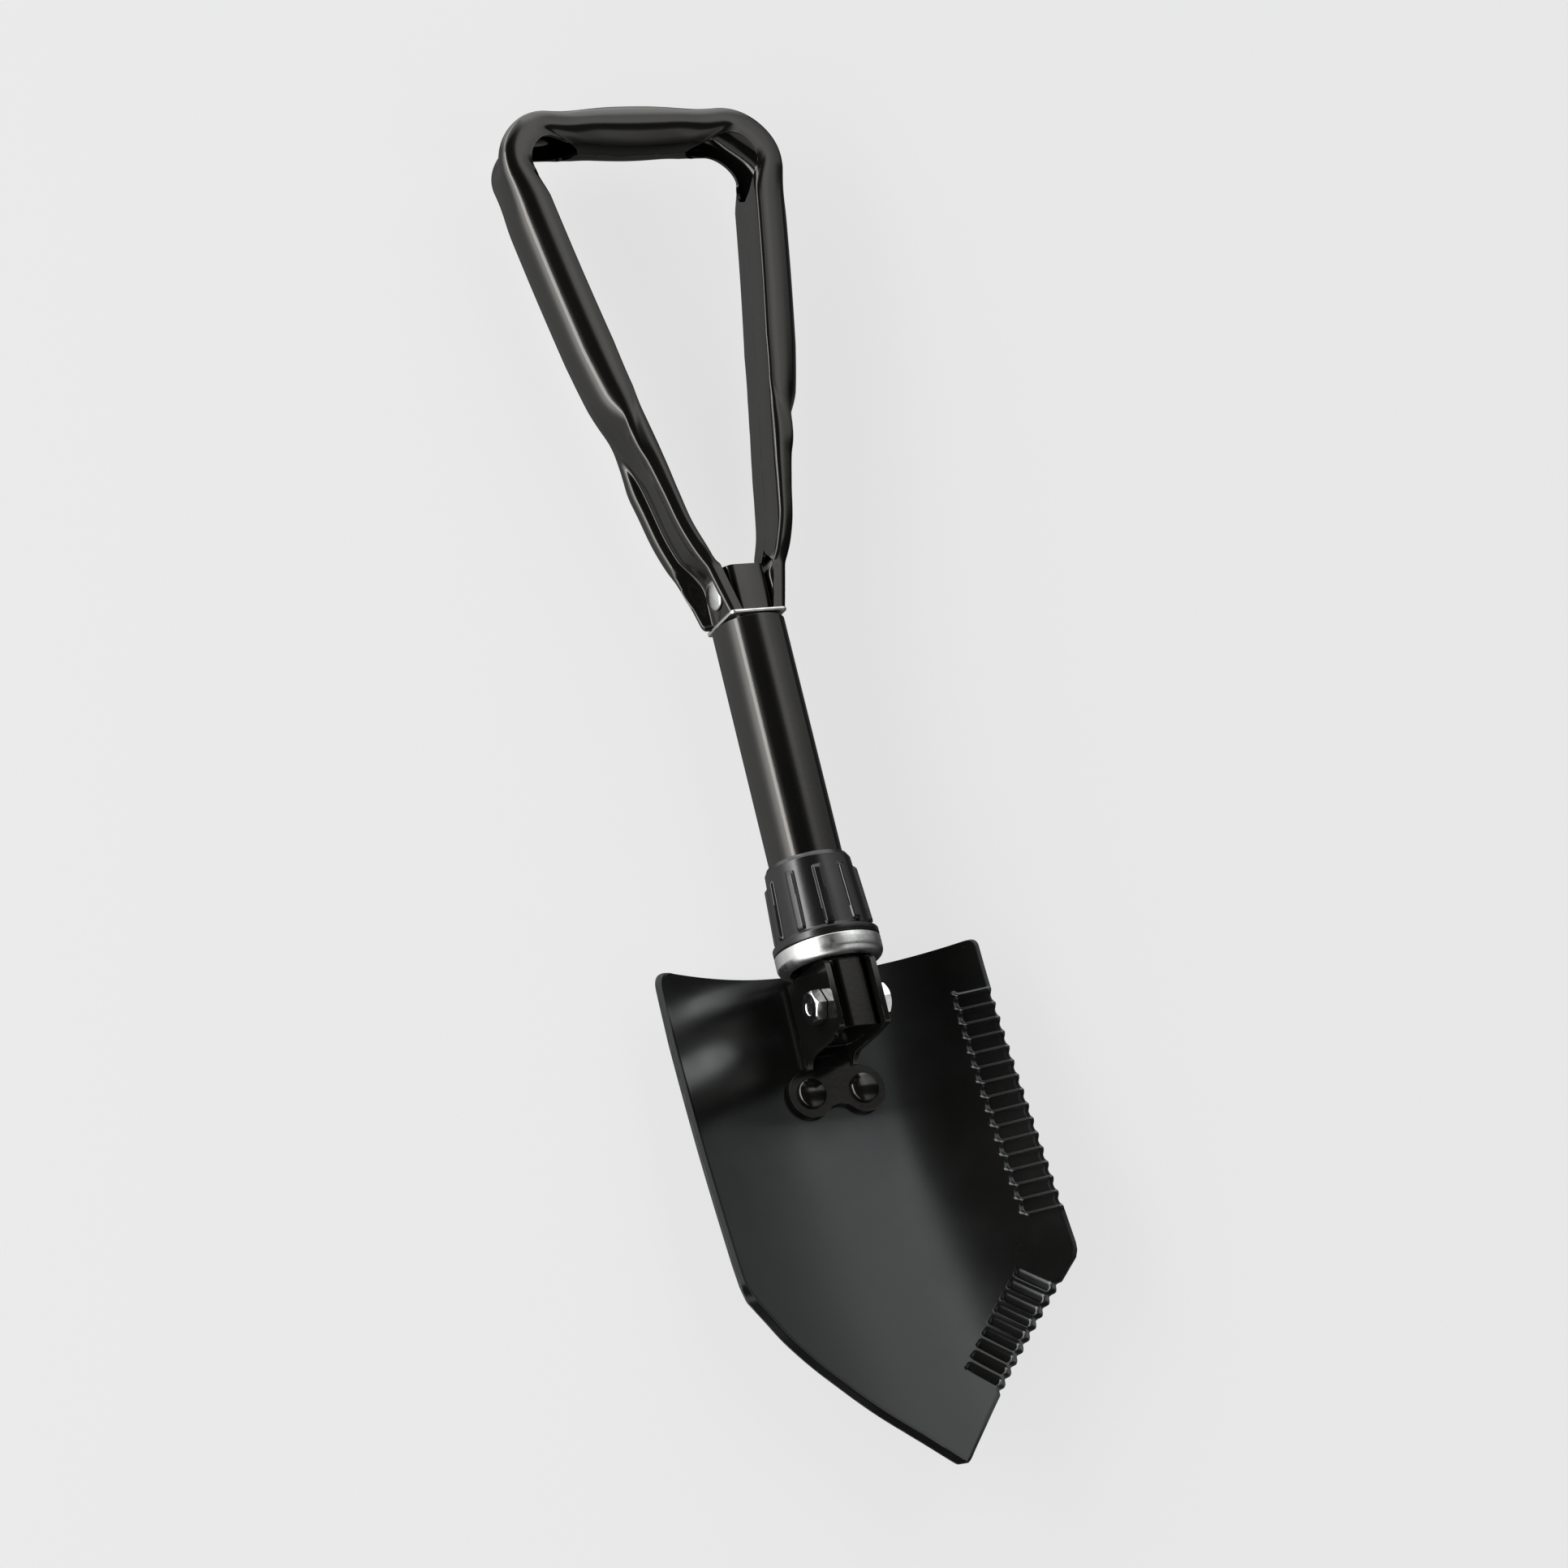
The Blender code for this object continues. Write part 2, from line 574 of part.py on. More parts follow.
def make_locking_collar():
    low, high = COLLAR_Y
    flange = low + COLLAR_FLANGE_H
    rib_low, rib_high = COLLAR_RIB_Y
    shoulder = high - 5.5
    steps = (
        (COLLAR_BORE, low, 0.0), (COLLAR_FLANGE_R - 0.5, low, 0.0), (COLLAR_FLANGE_R, low + 0.5, 0.0),
        (COLLAR_FLANGE_R, flange - 0.6, 0.0), (COLLAR_FLANGE_R - 0.6, flange, 0.0), (COLLAR_BODY_R, flange, 0.0),
        (COLLAR_BODY_R, rib_low, 0.0), (COLLAR_BODY_R, rib_low + 0.9, COLLAR_RIB_OUT),
        (COLLAR_BODY_R, rib_high - 0.9, COLLAR_RIB_OUT), (COLLAR_BODY_R, rib_high, 0.0),
        (COLLAR_BODY_R, shoulder, 0.0), (COLLAR_BODY_R - 1.6, shoulder + 2.6, 0.0),
        (TUBE_R + 1.2, high, 0.0), (TUBE_R + GAP, high, 0.0), (TUBE_R + GAP, high - 1.2, 0.0),
        (COLLAR_BORE, high - 1.6, 0.0),
    )
    rings = [collar_ring_of(*step) for step in steps]
    mesh_edit = skin(rings + rings[:1])
    bmesh.ops.remove_doubles(mesh_edit, verts=mesh_edit.verts[:], dist=0.001)
    placed("locking_collar", mesh_edit, enamel("collar_black"), Vector((0.0, low, 0.0)))


def make_collar_ring():
    low, high = RING_Y
    profile = (
        (RING_BORE, low), (RING_R - 3.2, low), (RING_R - 1.0, low + 1.2), (RING_R, low + 3.6),
        (RING_R, high - 0.5), (RING_R - 0.5, high), (RING_BORE, high),
    )
    placed("collar_ring", turned(profile, 40, loop=True), zinc("ring_zinc"), Vector((0.0, low, 0.0)))


# ---------------------------------------------------------------- neck, spring, stop plate


def make_neck_tube():
    low, high = NECK_Y
    rings = [round_box(NECK_HALF_X, NECK_HALF_Z, NECK_CORNER, y, 4) for y in (low, high)]
    neck = placed("neck_tube", skin(rings), enamel("neck_enamel"))
    solidify(neck, NECK_WALL, 1.0)
    hole = drum("neck_hole", HANDLE_RIVET_R + GAP, -30.0, 30.0, HANDLE_AXIS, TURN_TO_X, 20)
    combine(neck, hole, "DIFFERENCE")


def neck_hole_ring():
    """Hole that fits round the neck."""
    return round_box(NECK_HALF_X + GAP, NECK_HALF_Z + GAP, NECK_CORNER + GAP, 0.0, 4)


def make_spring_seat():
    """Bush at the foot of the neck: it holds the neck in the tube and carries the spring."""
    outer = round_box(SEAT_R, SEAT_R, SEAT_R, 0.0, 4)
    placed("spring_seat", holed_plate(outer, neck_hole_ring(), *SEAT_Y), zinc("seat_zinc"))


def make_stop_plate():
    outer = round_box(PLATE_HALF_X, PLATE_HALF_Z, 2.0, 0.0, 4)
    mesh_edit = holed_plate(outer, neck_hole_ring(), *PLATE_Y)
    placed("stop_plate", mesh_edit, zinc("plate_zinc"), Vector((0.0, PLATE_Y[0], 0.0)))


def make_detent_spring():
    """Coil spring inside the tube that pushes the stop plate against the handle's ears."""
    low = SEAT_Y[1] + GAP + SPRING_WIRE_R
    high = PLATE_Y[0] - GAP - SPRING_WIRE_R
    per_turn = 12
    count = per_turn * SPRING_TURNS
    rings = []
    for k in range(count + 1):
        angle = math.tau * k / per_turn
        outward = Vector((math.cos(angle), 0.0, math.sin(angle)))
        centre = outward * SPRING_R + Vector((0.0, mix(low, high, k / count), 0.0))
        ring = []
        for side in range(5):
            turn = math.tau * side / 5
            ring.append(centre + SPRING_WIRE_R * (outward * math.cos(turn) + Vector((0, math.sin(turn), 0))))
        rings.append(ring)
    placed("detent_spring", skin(rings, closed_ends=True), zinc("spring_steel"))


# ---------------------------------------------------------------- handle


def smooth_line(points, per_span):
    """Points on a smooth curve through the given points."""
    ends = [2 * points[0] - points[1]] + points + [2 * points[-1] - points[-2]]
    line = []
    for p0, p1, p2, p3 in zip(ends, ends[1:], ends[2:], ends[3:]):
        for k in range(per_span):
            t = k / per_span
            line.append(0.5 * (2 * p1 + (p2 - p0) * t + (2 * p0 - 5 * p1 + 4 * p2 - p3) * t**2
                               + (3 * p1 - p0 - 3 * p2 + p3) * t**3))
    line.append(points[-1])
    return line


def frame_line():
    """Middle line of the handle's right half: (point, half width, grip share, open share), ear to grip."""
    legs = smooth_line([Vector(point) for point in LEG_LINE], 2)
    line = [(p, along(LEG_HALF_WIDTHS, p.y), 0.0, smoothstep(*OPEN_LEG_Y, p.y)) for p in legs]
    centre = Vector((CORNER_X, GRIP_Y - CORNER_R))
    corner_steps = 8
    for k in range(1, corner_steps + 1):
        angle = math.radians(mix(-LEG_TOP_TILT, 90.0, k / corner_steps))
        point = centre + CORNER_R * Vector((math.cos(angle), math.sin(angle)))
        width = mix(line[-1][1], CORNER_HALF_WIDTH, 0.3)
        line.append((point, width, 0.0, 1.0))
    grip_steps = 6
    for k in range(1, grip_steps + 1):
        share = smoothstep(0.0, 1.0, k / grip_steps)
        point = Vector((mix(CORNER_X, 0.0, k / grip_steps), GRIP_Y))
        width = mix(CORNER_HALF_WIDTH, GRIP_HALF_WIDTH, share)
        line.append((point, width, 1.0, smoothstep(*OPEN_GRIP_X, point.x)))
    return line


def ear_point(y, z):
    """Middle of the sheet on an ear: a flat seat round the rivet between two raised ridges."""
    reach = abs(z) if y < RIVET_AXIS_Y else math.hypot(z, y - RIVET_AXIS_Y)
    return mix(SEAT_X, RIDGE_X, smoothstep(SEAT_FLAT_R, SEAT_RIDGE_R, reach))


def ear_rear_limit(y):
    """Greatest distance behind the axis that the ear may reach at y, so that it turns clear of the plate."""
    below = RIVET_AXIS_Y - y
    if below <= 0.0:
        return HANDLE_HALF_Z
    return min(HANDLE_HALF_Z, math.sqrt(max(EAR_SWING_R**2 - below**2, 1.0)))


def frame_section(centre, outward, half_width, grip_share, open_share):
    """Ring of sheet points at one place on the handle's line, from the rear lip to the front lip."""
    valley = 1.0 - smoothstep(*VALLEY_ENDS_Y, centre.y)
    ear = 1.0 - smoothstep(*EAR_BLEND_Y, centre.y)
    half = []
    sections = zip(ROUND_SECTION, VALLEY_SECTION, GRIP_SECTION, OPEN_SECTION, EAR_SECTION_Z)
    for rounded, pressed, grip, opened, ear_z in sections:
        out, z = (
            mix(mix(mix(rounded[i], pressed[i], valley), grip[i], grip_share), opened[i], open_share)
            for i in (0, 1)
        )
        half.append((out * half_width, mix(z, ear_z, ear)))
    ring = []
    for side in (-1, 1):
        points = half[:0:-1] if side < 0 else half
        for out, z in points:
            depth = side * z
            if side < 0 and ear > 0.0:
                depth *= ear_rear_limit(centre.y) / HANDLE_HALF_Z
            flat = centre + outward * out
            x = mix(flat.x, ear_point(centre.y, depth), ear)
            ring.append(Vector((x, flat.y if ear < 1.0 else centre.y, depth)))
    return ring


def make_handle_frame():
    line = frame_line()
    rings = []
    for i, (centre, half_width, grip_share, open_share) in enumerate(line):
        before = line[max(i - 1, 0)][0]
        after = line[min(i + 1, len(line) - 1)][0]
        run = (after - before).normalized()
        outward = Vector((run.y, -run.x))
        if i == len(line) - 1:
            outward = Vector((0.0, 1.0))
        rings.append(frame_section(centre, outward, half_width, grip_share, open_share))
    mirrored = [[Vector((-p.x, p.y, p.z)) for p in ring] for ring in reversed(rings[:-1])]
    mesh_edit = skin(rings + mirrored, closed_rings=False)
    frame = placed("handle_frame", mesh_edit, enamel("handle_enamel"), HANDLE_AXIS)
    solidify(frame, HANDLE_SHEET, 0.0)
    hole = drum("handle_hole", HANDLE_RIVET_R + GAP, -30.0, 30.0, HANDLE_AXIS, TURN_TO_X, 20)
    combine(frame, hole, "DIFFERENCE")


def make_handle_rivet():
    seat = SEAT_X + HANDLE_SHEET / 2 + GAP
    r = HANDLE_RIVET_HEAD_R
    profile = [(0.0, -seat - 2.4), (r * 0.45, -seat - 2.2), (r * 0.8, -seat - 1.5), (r, -seat - 0.4), (r, -seat)]
    profile += [(HANDLE_RIVET_R, -seat), (HANDLE_RIVET_R, seat)]
    profile += [(r * 0.85, seat), (r * 0.8, seat + 1.2), (r * 0.45, seat + 1.9), (0.0, seat + 2.0)]
    mesh_edit = turned(profile, 20, TURN_TO_X)
    bmesh.ops.translate(mesh_edit, vec=HANDLE_AXIS, verts=mesh_edit.verts[:])
    placed("handle_rivet", mesh_edit, zinc("rivet_zinc"), HANDLE_AXIS)


def main():
    clear_scene()
    make_blade()
    make_bracket()
    make_bracket_rivets()
    make_pivot_bolt()
    make_pivot_nut()
    make_pivot_spacer()
    make_shaft_tube()
    make_thread_sleeve()
    make_locking_collar()
    make_collar_ring()
    make_neck_tube()
    make_spring_seat()
    make_stop_plate()
    make_detent_spring()
    make_handle_frame()
    make_handle_rivet()


main()
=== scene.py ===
"""Looks of the folding camp shovel: fine sheet-metal surfaces, materials, studio and camera.

The pieces are drawn in millimetres, in the same drawing frame as the solids: X across the blade, Y along
the shaft towards the handle, Z out of the blade's hollow side, with Y = 0 just under the locking ring and
Z = 0 on the shaft's centre line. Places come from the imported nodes' boxes and the joints' positions.
"""

import json
import math
from collections import namedtuple

import bmesh
import bpy
from mathutils import Matrix, Vector


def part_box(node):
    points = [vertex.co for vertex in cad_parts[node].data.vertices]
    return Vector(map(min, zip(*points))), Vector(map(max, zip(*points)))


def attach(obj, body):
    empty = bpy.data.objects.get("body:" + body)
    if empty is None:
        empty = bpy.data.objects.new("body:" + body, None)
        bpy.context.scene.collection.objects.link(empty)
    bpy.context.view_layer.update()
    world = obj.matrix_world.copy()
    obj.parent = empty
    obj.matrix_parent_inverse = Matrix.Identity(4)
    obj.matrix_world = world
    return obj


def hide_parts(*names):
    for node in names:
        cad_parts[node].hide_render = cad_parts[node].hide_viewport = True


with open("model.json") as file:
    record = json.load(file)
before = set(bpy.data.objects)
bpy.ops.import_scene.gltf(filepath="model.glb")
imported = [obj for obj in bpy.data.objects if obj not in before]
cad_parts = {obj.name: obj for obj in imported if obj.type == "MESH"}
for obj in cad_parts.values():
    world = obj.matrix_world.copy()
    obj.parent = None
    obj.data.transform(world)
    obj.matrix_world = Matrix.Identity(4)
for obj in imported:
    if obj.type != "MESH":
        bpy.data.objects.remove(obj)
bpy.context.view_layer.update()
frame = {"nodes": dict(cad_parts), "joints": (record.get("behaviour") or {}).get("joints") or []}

MM = 0.001
JOINTS = {joint["name"]: joint for joint in frame["joints"]}
PIVOT_Y = -14.3
PIVOT_Z = 4.0
PIVOT = Vector((0.0, PIVOT_Y, PIVOT_Z))
ORIGIN = Vector(JOINTS["blade_fold"]["pos_m"]) / MM - PIVOT  # the drawing's zero point, in world millimetres
HANDLE_AXIS = Vector(JOINTS["handle_fold"]["pos_m"]) / MM - ORIGIN
GAP = 0.3
TURN_TO_X = Matrix.Rotation(math.radians(-90.0), 4, "Z")
TURN_TO_Z = Matrix.Rotation(math.radians(90.0), 4, "X")


def drawn_box(node):
    """Lowest and highest corner of a CAD node, in the drawing frame."""
    low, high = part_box(node)
    return low / MM - ORIGIN, high / MM - ORIGIN


# ---- small tools


def mix(a, b, share):
    """Value part of the way from a to b."""
    return a + (b - a) * share


def mix_each(first, second, share):
    """The same for each number of two tuples."""
    return tuple(mix(a, b, share) for a, b in zip(first, second))


def between(low, high, value):
    """How far a value is from low to high, held between 0 and 1."""
    return min(max((value - low) / (high - low), 0.0), 1.0)


def smoothstep(low, high, value):
    """The same with a smooth start and end."""
    share = between(low, high, value)
    return share * share * (3.0 - 2.0 * share)


def along(table, key):
    """Value at key in a table of (key, value) pairs sorted either way, with straight runs between them."""
    for (k0, v0), (k1, v1) in zip(table, table[1:]):
        if (k0 - key) * (k1 - key) <= 0.0 and k0 != k1:
            return mix(v0, v1, (key - k0) / (k1 - k0))
    ends = min((table[0], table[-1]), key=lambda pair: abs(pair[0] - key))
    return ends[1]


def spaced(start, end, step):
    """Numbers from start to end, both included, about one step apart."""
    count = max(1, round(abs(end - start) / step))
    return [mix(start, end, k / count) for k in range(count + 1)]


def smooth_line(points, per_span):
    """Points on a smooth curve through the given points."""
    ends = [2 * points[0] - points[1]] + points + [2 * points[-1] - points[-2]]
    line = []
    for p0, p1, p2, p3 in zip(ends, ends[1:], ends[2:], ends[3:]):
        for k in range(per_span):
            t = k / per_span
            line.append(0.5 * (2 * p1 + (p2 - p0) * t + (2 * p0 - 5 * p1 + 4 * p2 - p3) * t**2
                               + (3 * p1 - p0 - 3 * p2 + p3) * t**3))
    line.append(points[-1])
    return line


def arc(centre_a, centre_b, radius, start, end, count):
    """Points on an arc, angles in degrees."""
    points = []
    for k in range(count + 1):
        angle = math.radians(mix(start, end, k / count))
        points.append((centre_a + radius * math.cos(angle), centre_b + radius * math.sin(angle)))
    return points


def skin(rings, closed_ends=False, closed_rings=True):
    """A mesh through a list of rings of equal length."""
    draft = bmesh.new()
    rows = [[draft.verts.new(point) for point in ring] for ring in rings]
    count = len(rows[0])
    for low, high in zip(rows, rows[1:]):
        for i in range(count if closed_rings else count - 1):
            j = (i + 1) % count
            draft.faces.new((low[i], low[j], high[j], high[i]))
    if closed_ends:
        draft.faces.new(rows[0][::-1])
        draft.faces.new(rows[-1])
    return draft


def looped(rings):
    """Skin through rings whose last one meets the first again."""
    draft = skin(list(rings) + [rings[0]])
    bmesh.ops.remove_doubles(draft, verts=draft.verts[:], dist=0.0005)
    return draft


def turned(profile, steps, turn=Matrix(), loop=False):
    """Spin a profile of (radius, height) points round Y, then turn the result."""
    draft = bmesh.new()
    verts = [draft.verts.new((radius, height, 0.0)) for radius, height in profile]
    pairs = list(zip(verts, verts[1:]))
    if loop:
        pairs.append((verts[-1], verts[0]))
    edges = [draft.edges.new(pair) for pair in pairs]
    bmesh.ops.spin(
        draft, geom=verts + edges, cent=(0, 0, 0), axis=(0, 1, 0), angle=math.tau, steps=steps,
        use_merge=True,
    )
    bmesh.ops.remove_doubles(draft, verts=draft.verts[:], dist=0.0005)
    bmesh.ops.transform(draft, matrix=turn, verts=draft.verts[:])
    return draft


def prism(outline, axis, low, high):
    """Extrude an outline of two coordinates along the third, X, Y or Z."""
    index = "XYZ".index(axis)
    draft = bmesh.new()
    corners = [draft.verts.new(pair[:index] + (low,) + pair[index:]) for pair in outline]
    grown = bmesh.ops.extrude_face_region(draft, geom=[draft.faces.new(corners)])["geom"]
    step = Vector([(high - low) * (name == axis) for name in "XYZ"])
    raised = [part for part in grown if isinstance(part, bmesh.types.BMVert)]
    bmesh.ops.translate(draft, vec=step, verts=raised)
    return draft


def moved(draft, offset):
    """Shift a drawing."""
    bmesh.ops.translate(draft, vec=offset, verts=draft.verts[:])
    return draft


def round_box(half_x, half_z, corner, y, per_corner=12):
    """Ring at height y: a rectangle with round corners, or a circle when all three sizes are equal."""
    ring = []
    for quarter in range(4):
        sign_x = (1, -1, -1, 1)[quarter]
        sign_z = (1, 1, -1, -1)[quarter]
        for k in range(per_corner):
            angle = math.radians(90.0 * (quarter + (k + 0.5) / per_corner))
            x = sign_x * (half_x - corner) + corner * math.cos(angle)
            z = sign_z * (half_z - corner) + corner * math.sin(angle)
            ring.append(Vector((x, y, z)))
    return ring


def ring_point(radius, angle, y):
    """Point at this angle (radians) on a circle round Y."""
    return Vector((radius * math.cos(angle), y, radius * math.sin(angle)))


def new_object(name, data):
    """An object in the scene."""
    thing = bpy.data.objects.new(name, data)
    bpy.context.scene.collection.objects.link(thing)
    return thing


def to_object(name, draft, material, sharp=35.0):
    """Turn a drawing in millimetres into an object in the world frame."""
    if all(edge.is_manifold for edge in draft.edges):
        bmesh.ops.recalc_face_normals(draft, faces=draft.faces[:])
    bmesh.ops.translate(draft, vec=ORIGIN, verts=draft.verts[:])
    bmesh.ops.scale(draft, vec=(MM, MM, MM), verts=draft.verts[:])
    mesh = bpy.data.meshes.new(name)
    draft.to_mesh(mesh)
    draft.free()
    mesh.shade_smooth()
    mesh.set_sharp_from_angle(angle=math.radians(sharp))
    if material:
        mesh.materials.append(material)
    return new_object(name, mesh)


def settle(thing):
    """Apply an object's modifiers."""
    bpy.context.view_layer.update()
    graph = bpy.context.evaluated_depsgraph_get()
    mesh = bpy.data.meshes.new_from_object(thing.evaluated_get(graph))
    thing.modifiers.clear()
    thing.data = mesh


def combine(thing, other, operation):
    """Join, cut or intersect an object with another, which is used up."""
    modifier = thing.modifiers.new("combine", "BOOLEAN")
    modifier.operation = operation
    modifier.object = other
    modifier.solver = "EXACT"
    settle(thing)
    bpy.data.objects.remove(other, do_unlink=True)


DRILL_REACH = 30.0  # half the length of every drill


def drill(thing, radius, centre, turn):
    """Cut a round hole right through an object."""
    profile = ((0.0, -DRILL_REACH), (radius, -DRILL_REACH), (radius, DRILL_REACH), (0.0, DRILL_REACH))
    drum = moved(turned(profile, 40, turn), centre)
    combine(thing, to_object("cutter", drum, None), "DIFFERENCE")


def round_edges(thing, width, segments=3, angle=35.0):
    """Soften an object's sharp edges and keep its faces shaded flat to them."""
    modifier = thing.modifiers.new("edges", "BEVEL")
    modifier.width = width * MM
    modifier.segments = segments
    modifier.limit_method = "ANGLE"
    modifier.angle_limit = math.radians(angle)
    modifier.harden_normals = True
    modifier.use_clamp_overlap = True
    settle(thing)


def solidify(thing, thickness, offset):
    modifier = thing.modifiers.new("sheet", "SOLIDIFY")
    modifier.thickness = thickness * MM
    modifier.offset = offset
    modifier.use_even_offset = True
    settle(thing)


def stands_for(thing, node, body):
    """Show this piece in place of a CAD node."""
    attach(thing, body)
    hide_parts(node)


# ---- materials

NEUTRAL = (1.0, 1.0, 1.0)
WEAR_REACH = 0.0005  # metres from an edge that the paint is rubbed
DUST = (0.16, 0.15, 0.14)
BARE_STEEL = (0.30, 0.29, 0.28)
DULL_STAIN = (0.28, 0.26, 0.22)
BROWN_BLACK = (0.0055, 0.0052, 0.0048)  # where the black enamel looks warmer


class Nodes:
    """The node tree of a material or world. Each call adds a node and gives its output."""

    def __init__(self, owner):
        owner.use_nodes = True
        self.tree = owner.node_tree

    def add(self, kind, **settings):
        node = self.tree.nodes.new(kind)
        for name, value in settings.items():
            setattr(node, name, value)
        return node

    def feed(self, socket, source):
        """Link an output to a socket, or give the socket a number or colour."""
        if isinstance(source, bpy.types.NodeSocket):
            self.tree.links.new(source, socket)
        elif socket.type == "RGBA":
            socket.default_value = (*source, 1.0)
        else:
            socket.default_value = source

    def coords(self, output):
        return self.add("ShaderNodeTexCoord").outputs[output]

    def math(self, operation, *sources):
        node = self.add("ShaderNodeMath", operation=operation)
        for socket, source in zip(node.inputs, sources):
            self.feed(socket, source)
        return node.outputs[0]

    def noise(self, coords, scale, detail):
        node = self.add("ShaderNodeTexNoise")
        self.feed(node.inputs["Scale"], scale)
        self.feed(node.inputs["Detail"], detail)
        self.feed(node.inputs["Roughness"], 0.55)
        self.feed(node.inputs["Vector"], coords)
        return node.outputs["Fac"]

    def ramp(self, source, *stops):
        """Map a value through stops of (position, grey)."""
        node = self.add("ShaderNodeValToRGB")
        elements = node.color_ramp.elements
        while len(elements) < len(stops):
            elements.new(0.5)
        for element, (position, grey) in zip(elements, stops):
            element.position = position
            element.color = (grey, grey, grey, 1.0)
        self.feed(node.inputs["Fac"], source)
        return node.outputs["Color"]

    def patches(self, coords, scale, detail, low, high):
        """Noise turned into patches: 0 below the first value, 1 above the second."""
        return self.ramp(self.noise(coords, scale, detail), (low, 0.0), (high, 1.0))

    def blend(self, factor, first, second):
        node = self.add("ShaderNodeMix", data_type="RGBA")
        for index, source in ((0, factor), (6, first), (7, second)):
            self.feed(node.inputs[index], source)
        return node.outputs[2]

    def finish(self, shader, colour, rough, height, strength, distance):
        """Plug colour, roughness and bump into the surface shader."""
        self.feed(shader.inputs["Base Color"], colour)
        self.feed(shader.inputs["Roughness"], rough)
        bump = self.add("ShaderNodeBump")
        self.feed(bump.inputs["Strength"], strength)
        self.feed(bump.inputs["Distance"], distance)
        self.feed(bump.inputs["Height"], height)
        self.feed(shader.inputs["Normal"], bump.outputs["Normal"])


def new_material(name):
    """A material, its nodes and its surface shader."""
    material = bpy.data.materials.new(name)
    nodes = Nodes(material)
    return material, nodes, nodes.tree.nodes["Principled BSDF"]


def edge_wear(nodes, coords):
    """Mask of edges, where a slightly rounded normal differs from the real one, broken up by noise."""
    rounded = nodes.add("ShaderNodeBevel", samples=4)
    nodes.feed(rounded.inputs["Radius"], WEAR_REACH)
    likeness = nodes.add("ShaderNodeVectorMath", operation="DOT_PRODUCT")
    nodes.feed(likeness.inputs[0], nodes.add("ShaderNodeNewGeometry").outputs["Normal"])
    nodes.feed(likeness.inputs[1], rounded.outputs["Normal"])
    edges = nodes.ramp(likeness.outputs["Value"], (0.70, 1.0), (0.97, 0.0))
    return nodes.math("MULTIPLY", edges, nodes.patches(coords, 160.0, 6.0, 0.45, 0.62))


def enamel(name, base, roughness, peel=0.05, wear=0.35, gloss_tint=NEUTRAL):
    """Gloss enamel on steel: cloudy sheen, orange peel, dust specks and rubbed edges."""
    material, nodes, shader = new_material(name)
    coords = nodes.coords("Object")
    colour = nodes.blend(nodes.patches(coords, 14.0, 3.0, 0.35, 0.7), base, BROWN_BLACK)
    specks = nodes.patches(coords, 900.0, 2.0, 0.70, 0.76)
    colour = nodes.blend(nodes.math("MULTIPLY", specks, 0.07), colour, DUST)
    worn = nodes.math("MULTIPLY", edge_wear(nodes, coords), wear)
    colour = nodes.blend(worn, colour, BARE_STEEL)
    nodes.feed(shader.inputs["Metallic"], nodes.math("MULTIPLY", worn, 0.8))
    nodes.feed(shader.inputs["Specular Tint"], gloss_tint)
    rough = nodes.ramp(nodes.noise(coords, 45.0, 5.0), (0.3, roughness - 0.03), (0.7, roughness + 0.04))
    nodes.finish(shader, colour, rough, nodes.noise(coords, 420.0, 2.0), peel, 0.0002)
    return material


def zinc(name, base, roughness, stain=0.35, brushed=None):
    """Bright zinc plate: mottled grey with faint dull stains and, if wanted, fine turning marks."""
    material, nodes, shader = new_material(name)
    coords = nodes.coords("Object")
    mottle = nodes.patches(coords, 260.0, 6.0, 0.35, 0.7)
    colour = nodes.blend(mottle, base, tuple(part * 0.72 for part in base))
    stains = nodes.patches(coords, 90.0, 4.0, 0.55, 0.68)
    colour = nodes.blend(nodes.math("MULTIPLY", stains, stain), colour, DULL_STAIN)
    nodes.feed(shader.inputs["Metallic"], 1.0)
    rough = nodes.ramp(mottle, (0.0, roughness), (1.0, roughness + 0.14))
    if brushed:
        stretch = nodes.add("ShaderNodeMapping")
        stretch.inputs["Scale"].default_value = brushed
        nodes.feed(stretch.inputs["Vector"], coords)
        height = nodes.noise(stretch.outputs["Vector"], 300.0, 3.0)
    else:
        height = nodes.noise(coords, 600.0, 3.0)
    nodes.finish(shader, colour, rough, height, 0.12, 0.0004)
    return material


# ---- blade

BLADE_HALF = 78.6
BLADE_SHEET = 1.8
BLADE_RIM_R = 0.35
BLADE_TIP_Y = -213.9
BLADE_WIDE_Y = -132.0
BLADE_TOP_Y = 8.0
BLADE_TOP_CURVE = 5.0  # how much higher the top corners stand than the middle of the top edge
BLADE_FLOOR_Z = -23.8  # hollow side of the flat strip down the middle
BLADE_FLAT_HALF = 22.0
BLADE_FLAT_END_Y = -55.0
BLADE_EDGE_TOP_Z = -7.5
BLADE_EDGE_WIDE_Z = 6.5
BLADE_TIP_Z = 9.6
# Edges of the blade as (Y, distance from the middle)
LEFT_SIDE = (
    (8.0, 77.0), (0.0, 77.6), (-20.0, 78.3), (-70.0, 78.5), (-118.0, 78.3), (-128.0, 77.9), (-134.5, 76.6),
)
LEFT_BELOW = (
    (-134.5, 76.6), (-143.0, 70.3), (-151.5, 64.4), (-158.0, 58.9), (-166.0, 51.3), (-173.5, 43.6),
    (-181.0, 36.2), (-188.5, 28.6), (-196.0, 20.6), (-203.0, 13.4), (-209.0, 7.5), (-212.0, 4.6),
    (-213.3, 3.2), (BLADE_TIP_Y, 2.2),
)
LEFT_CURVE = smooth_line([Vector(pair) for pair in LEFT_BELOW], 5)
LEFT_OUTLINE = LEFT_SIDE + tuple(tuple(point) for point in LEFT_CURVE[1:])
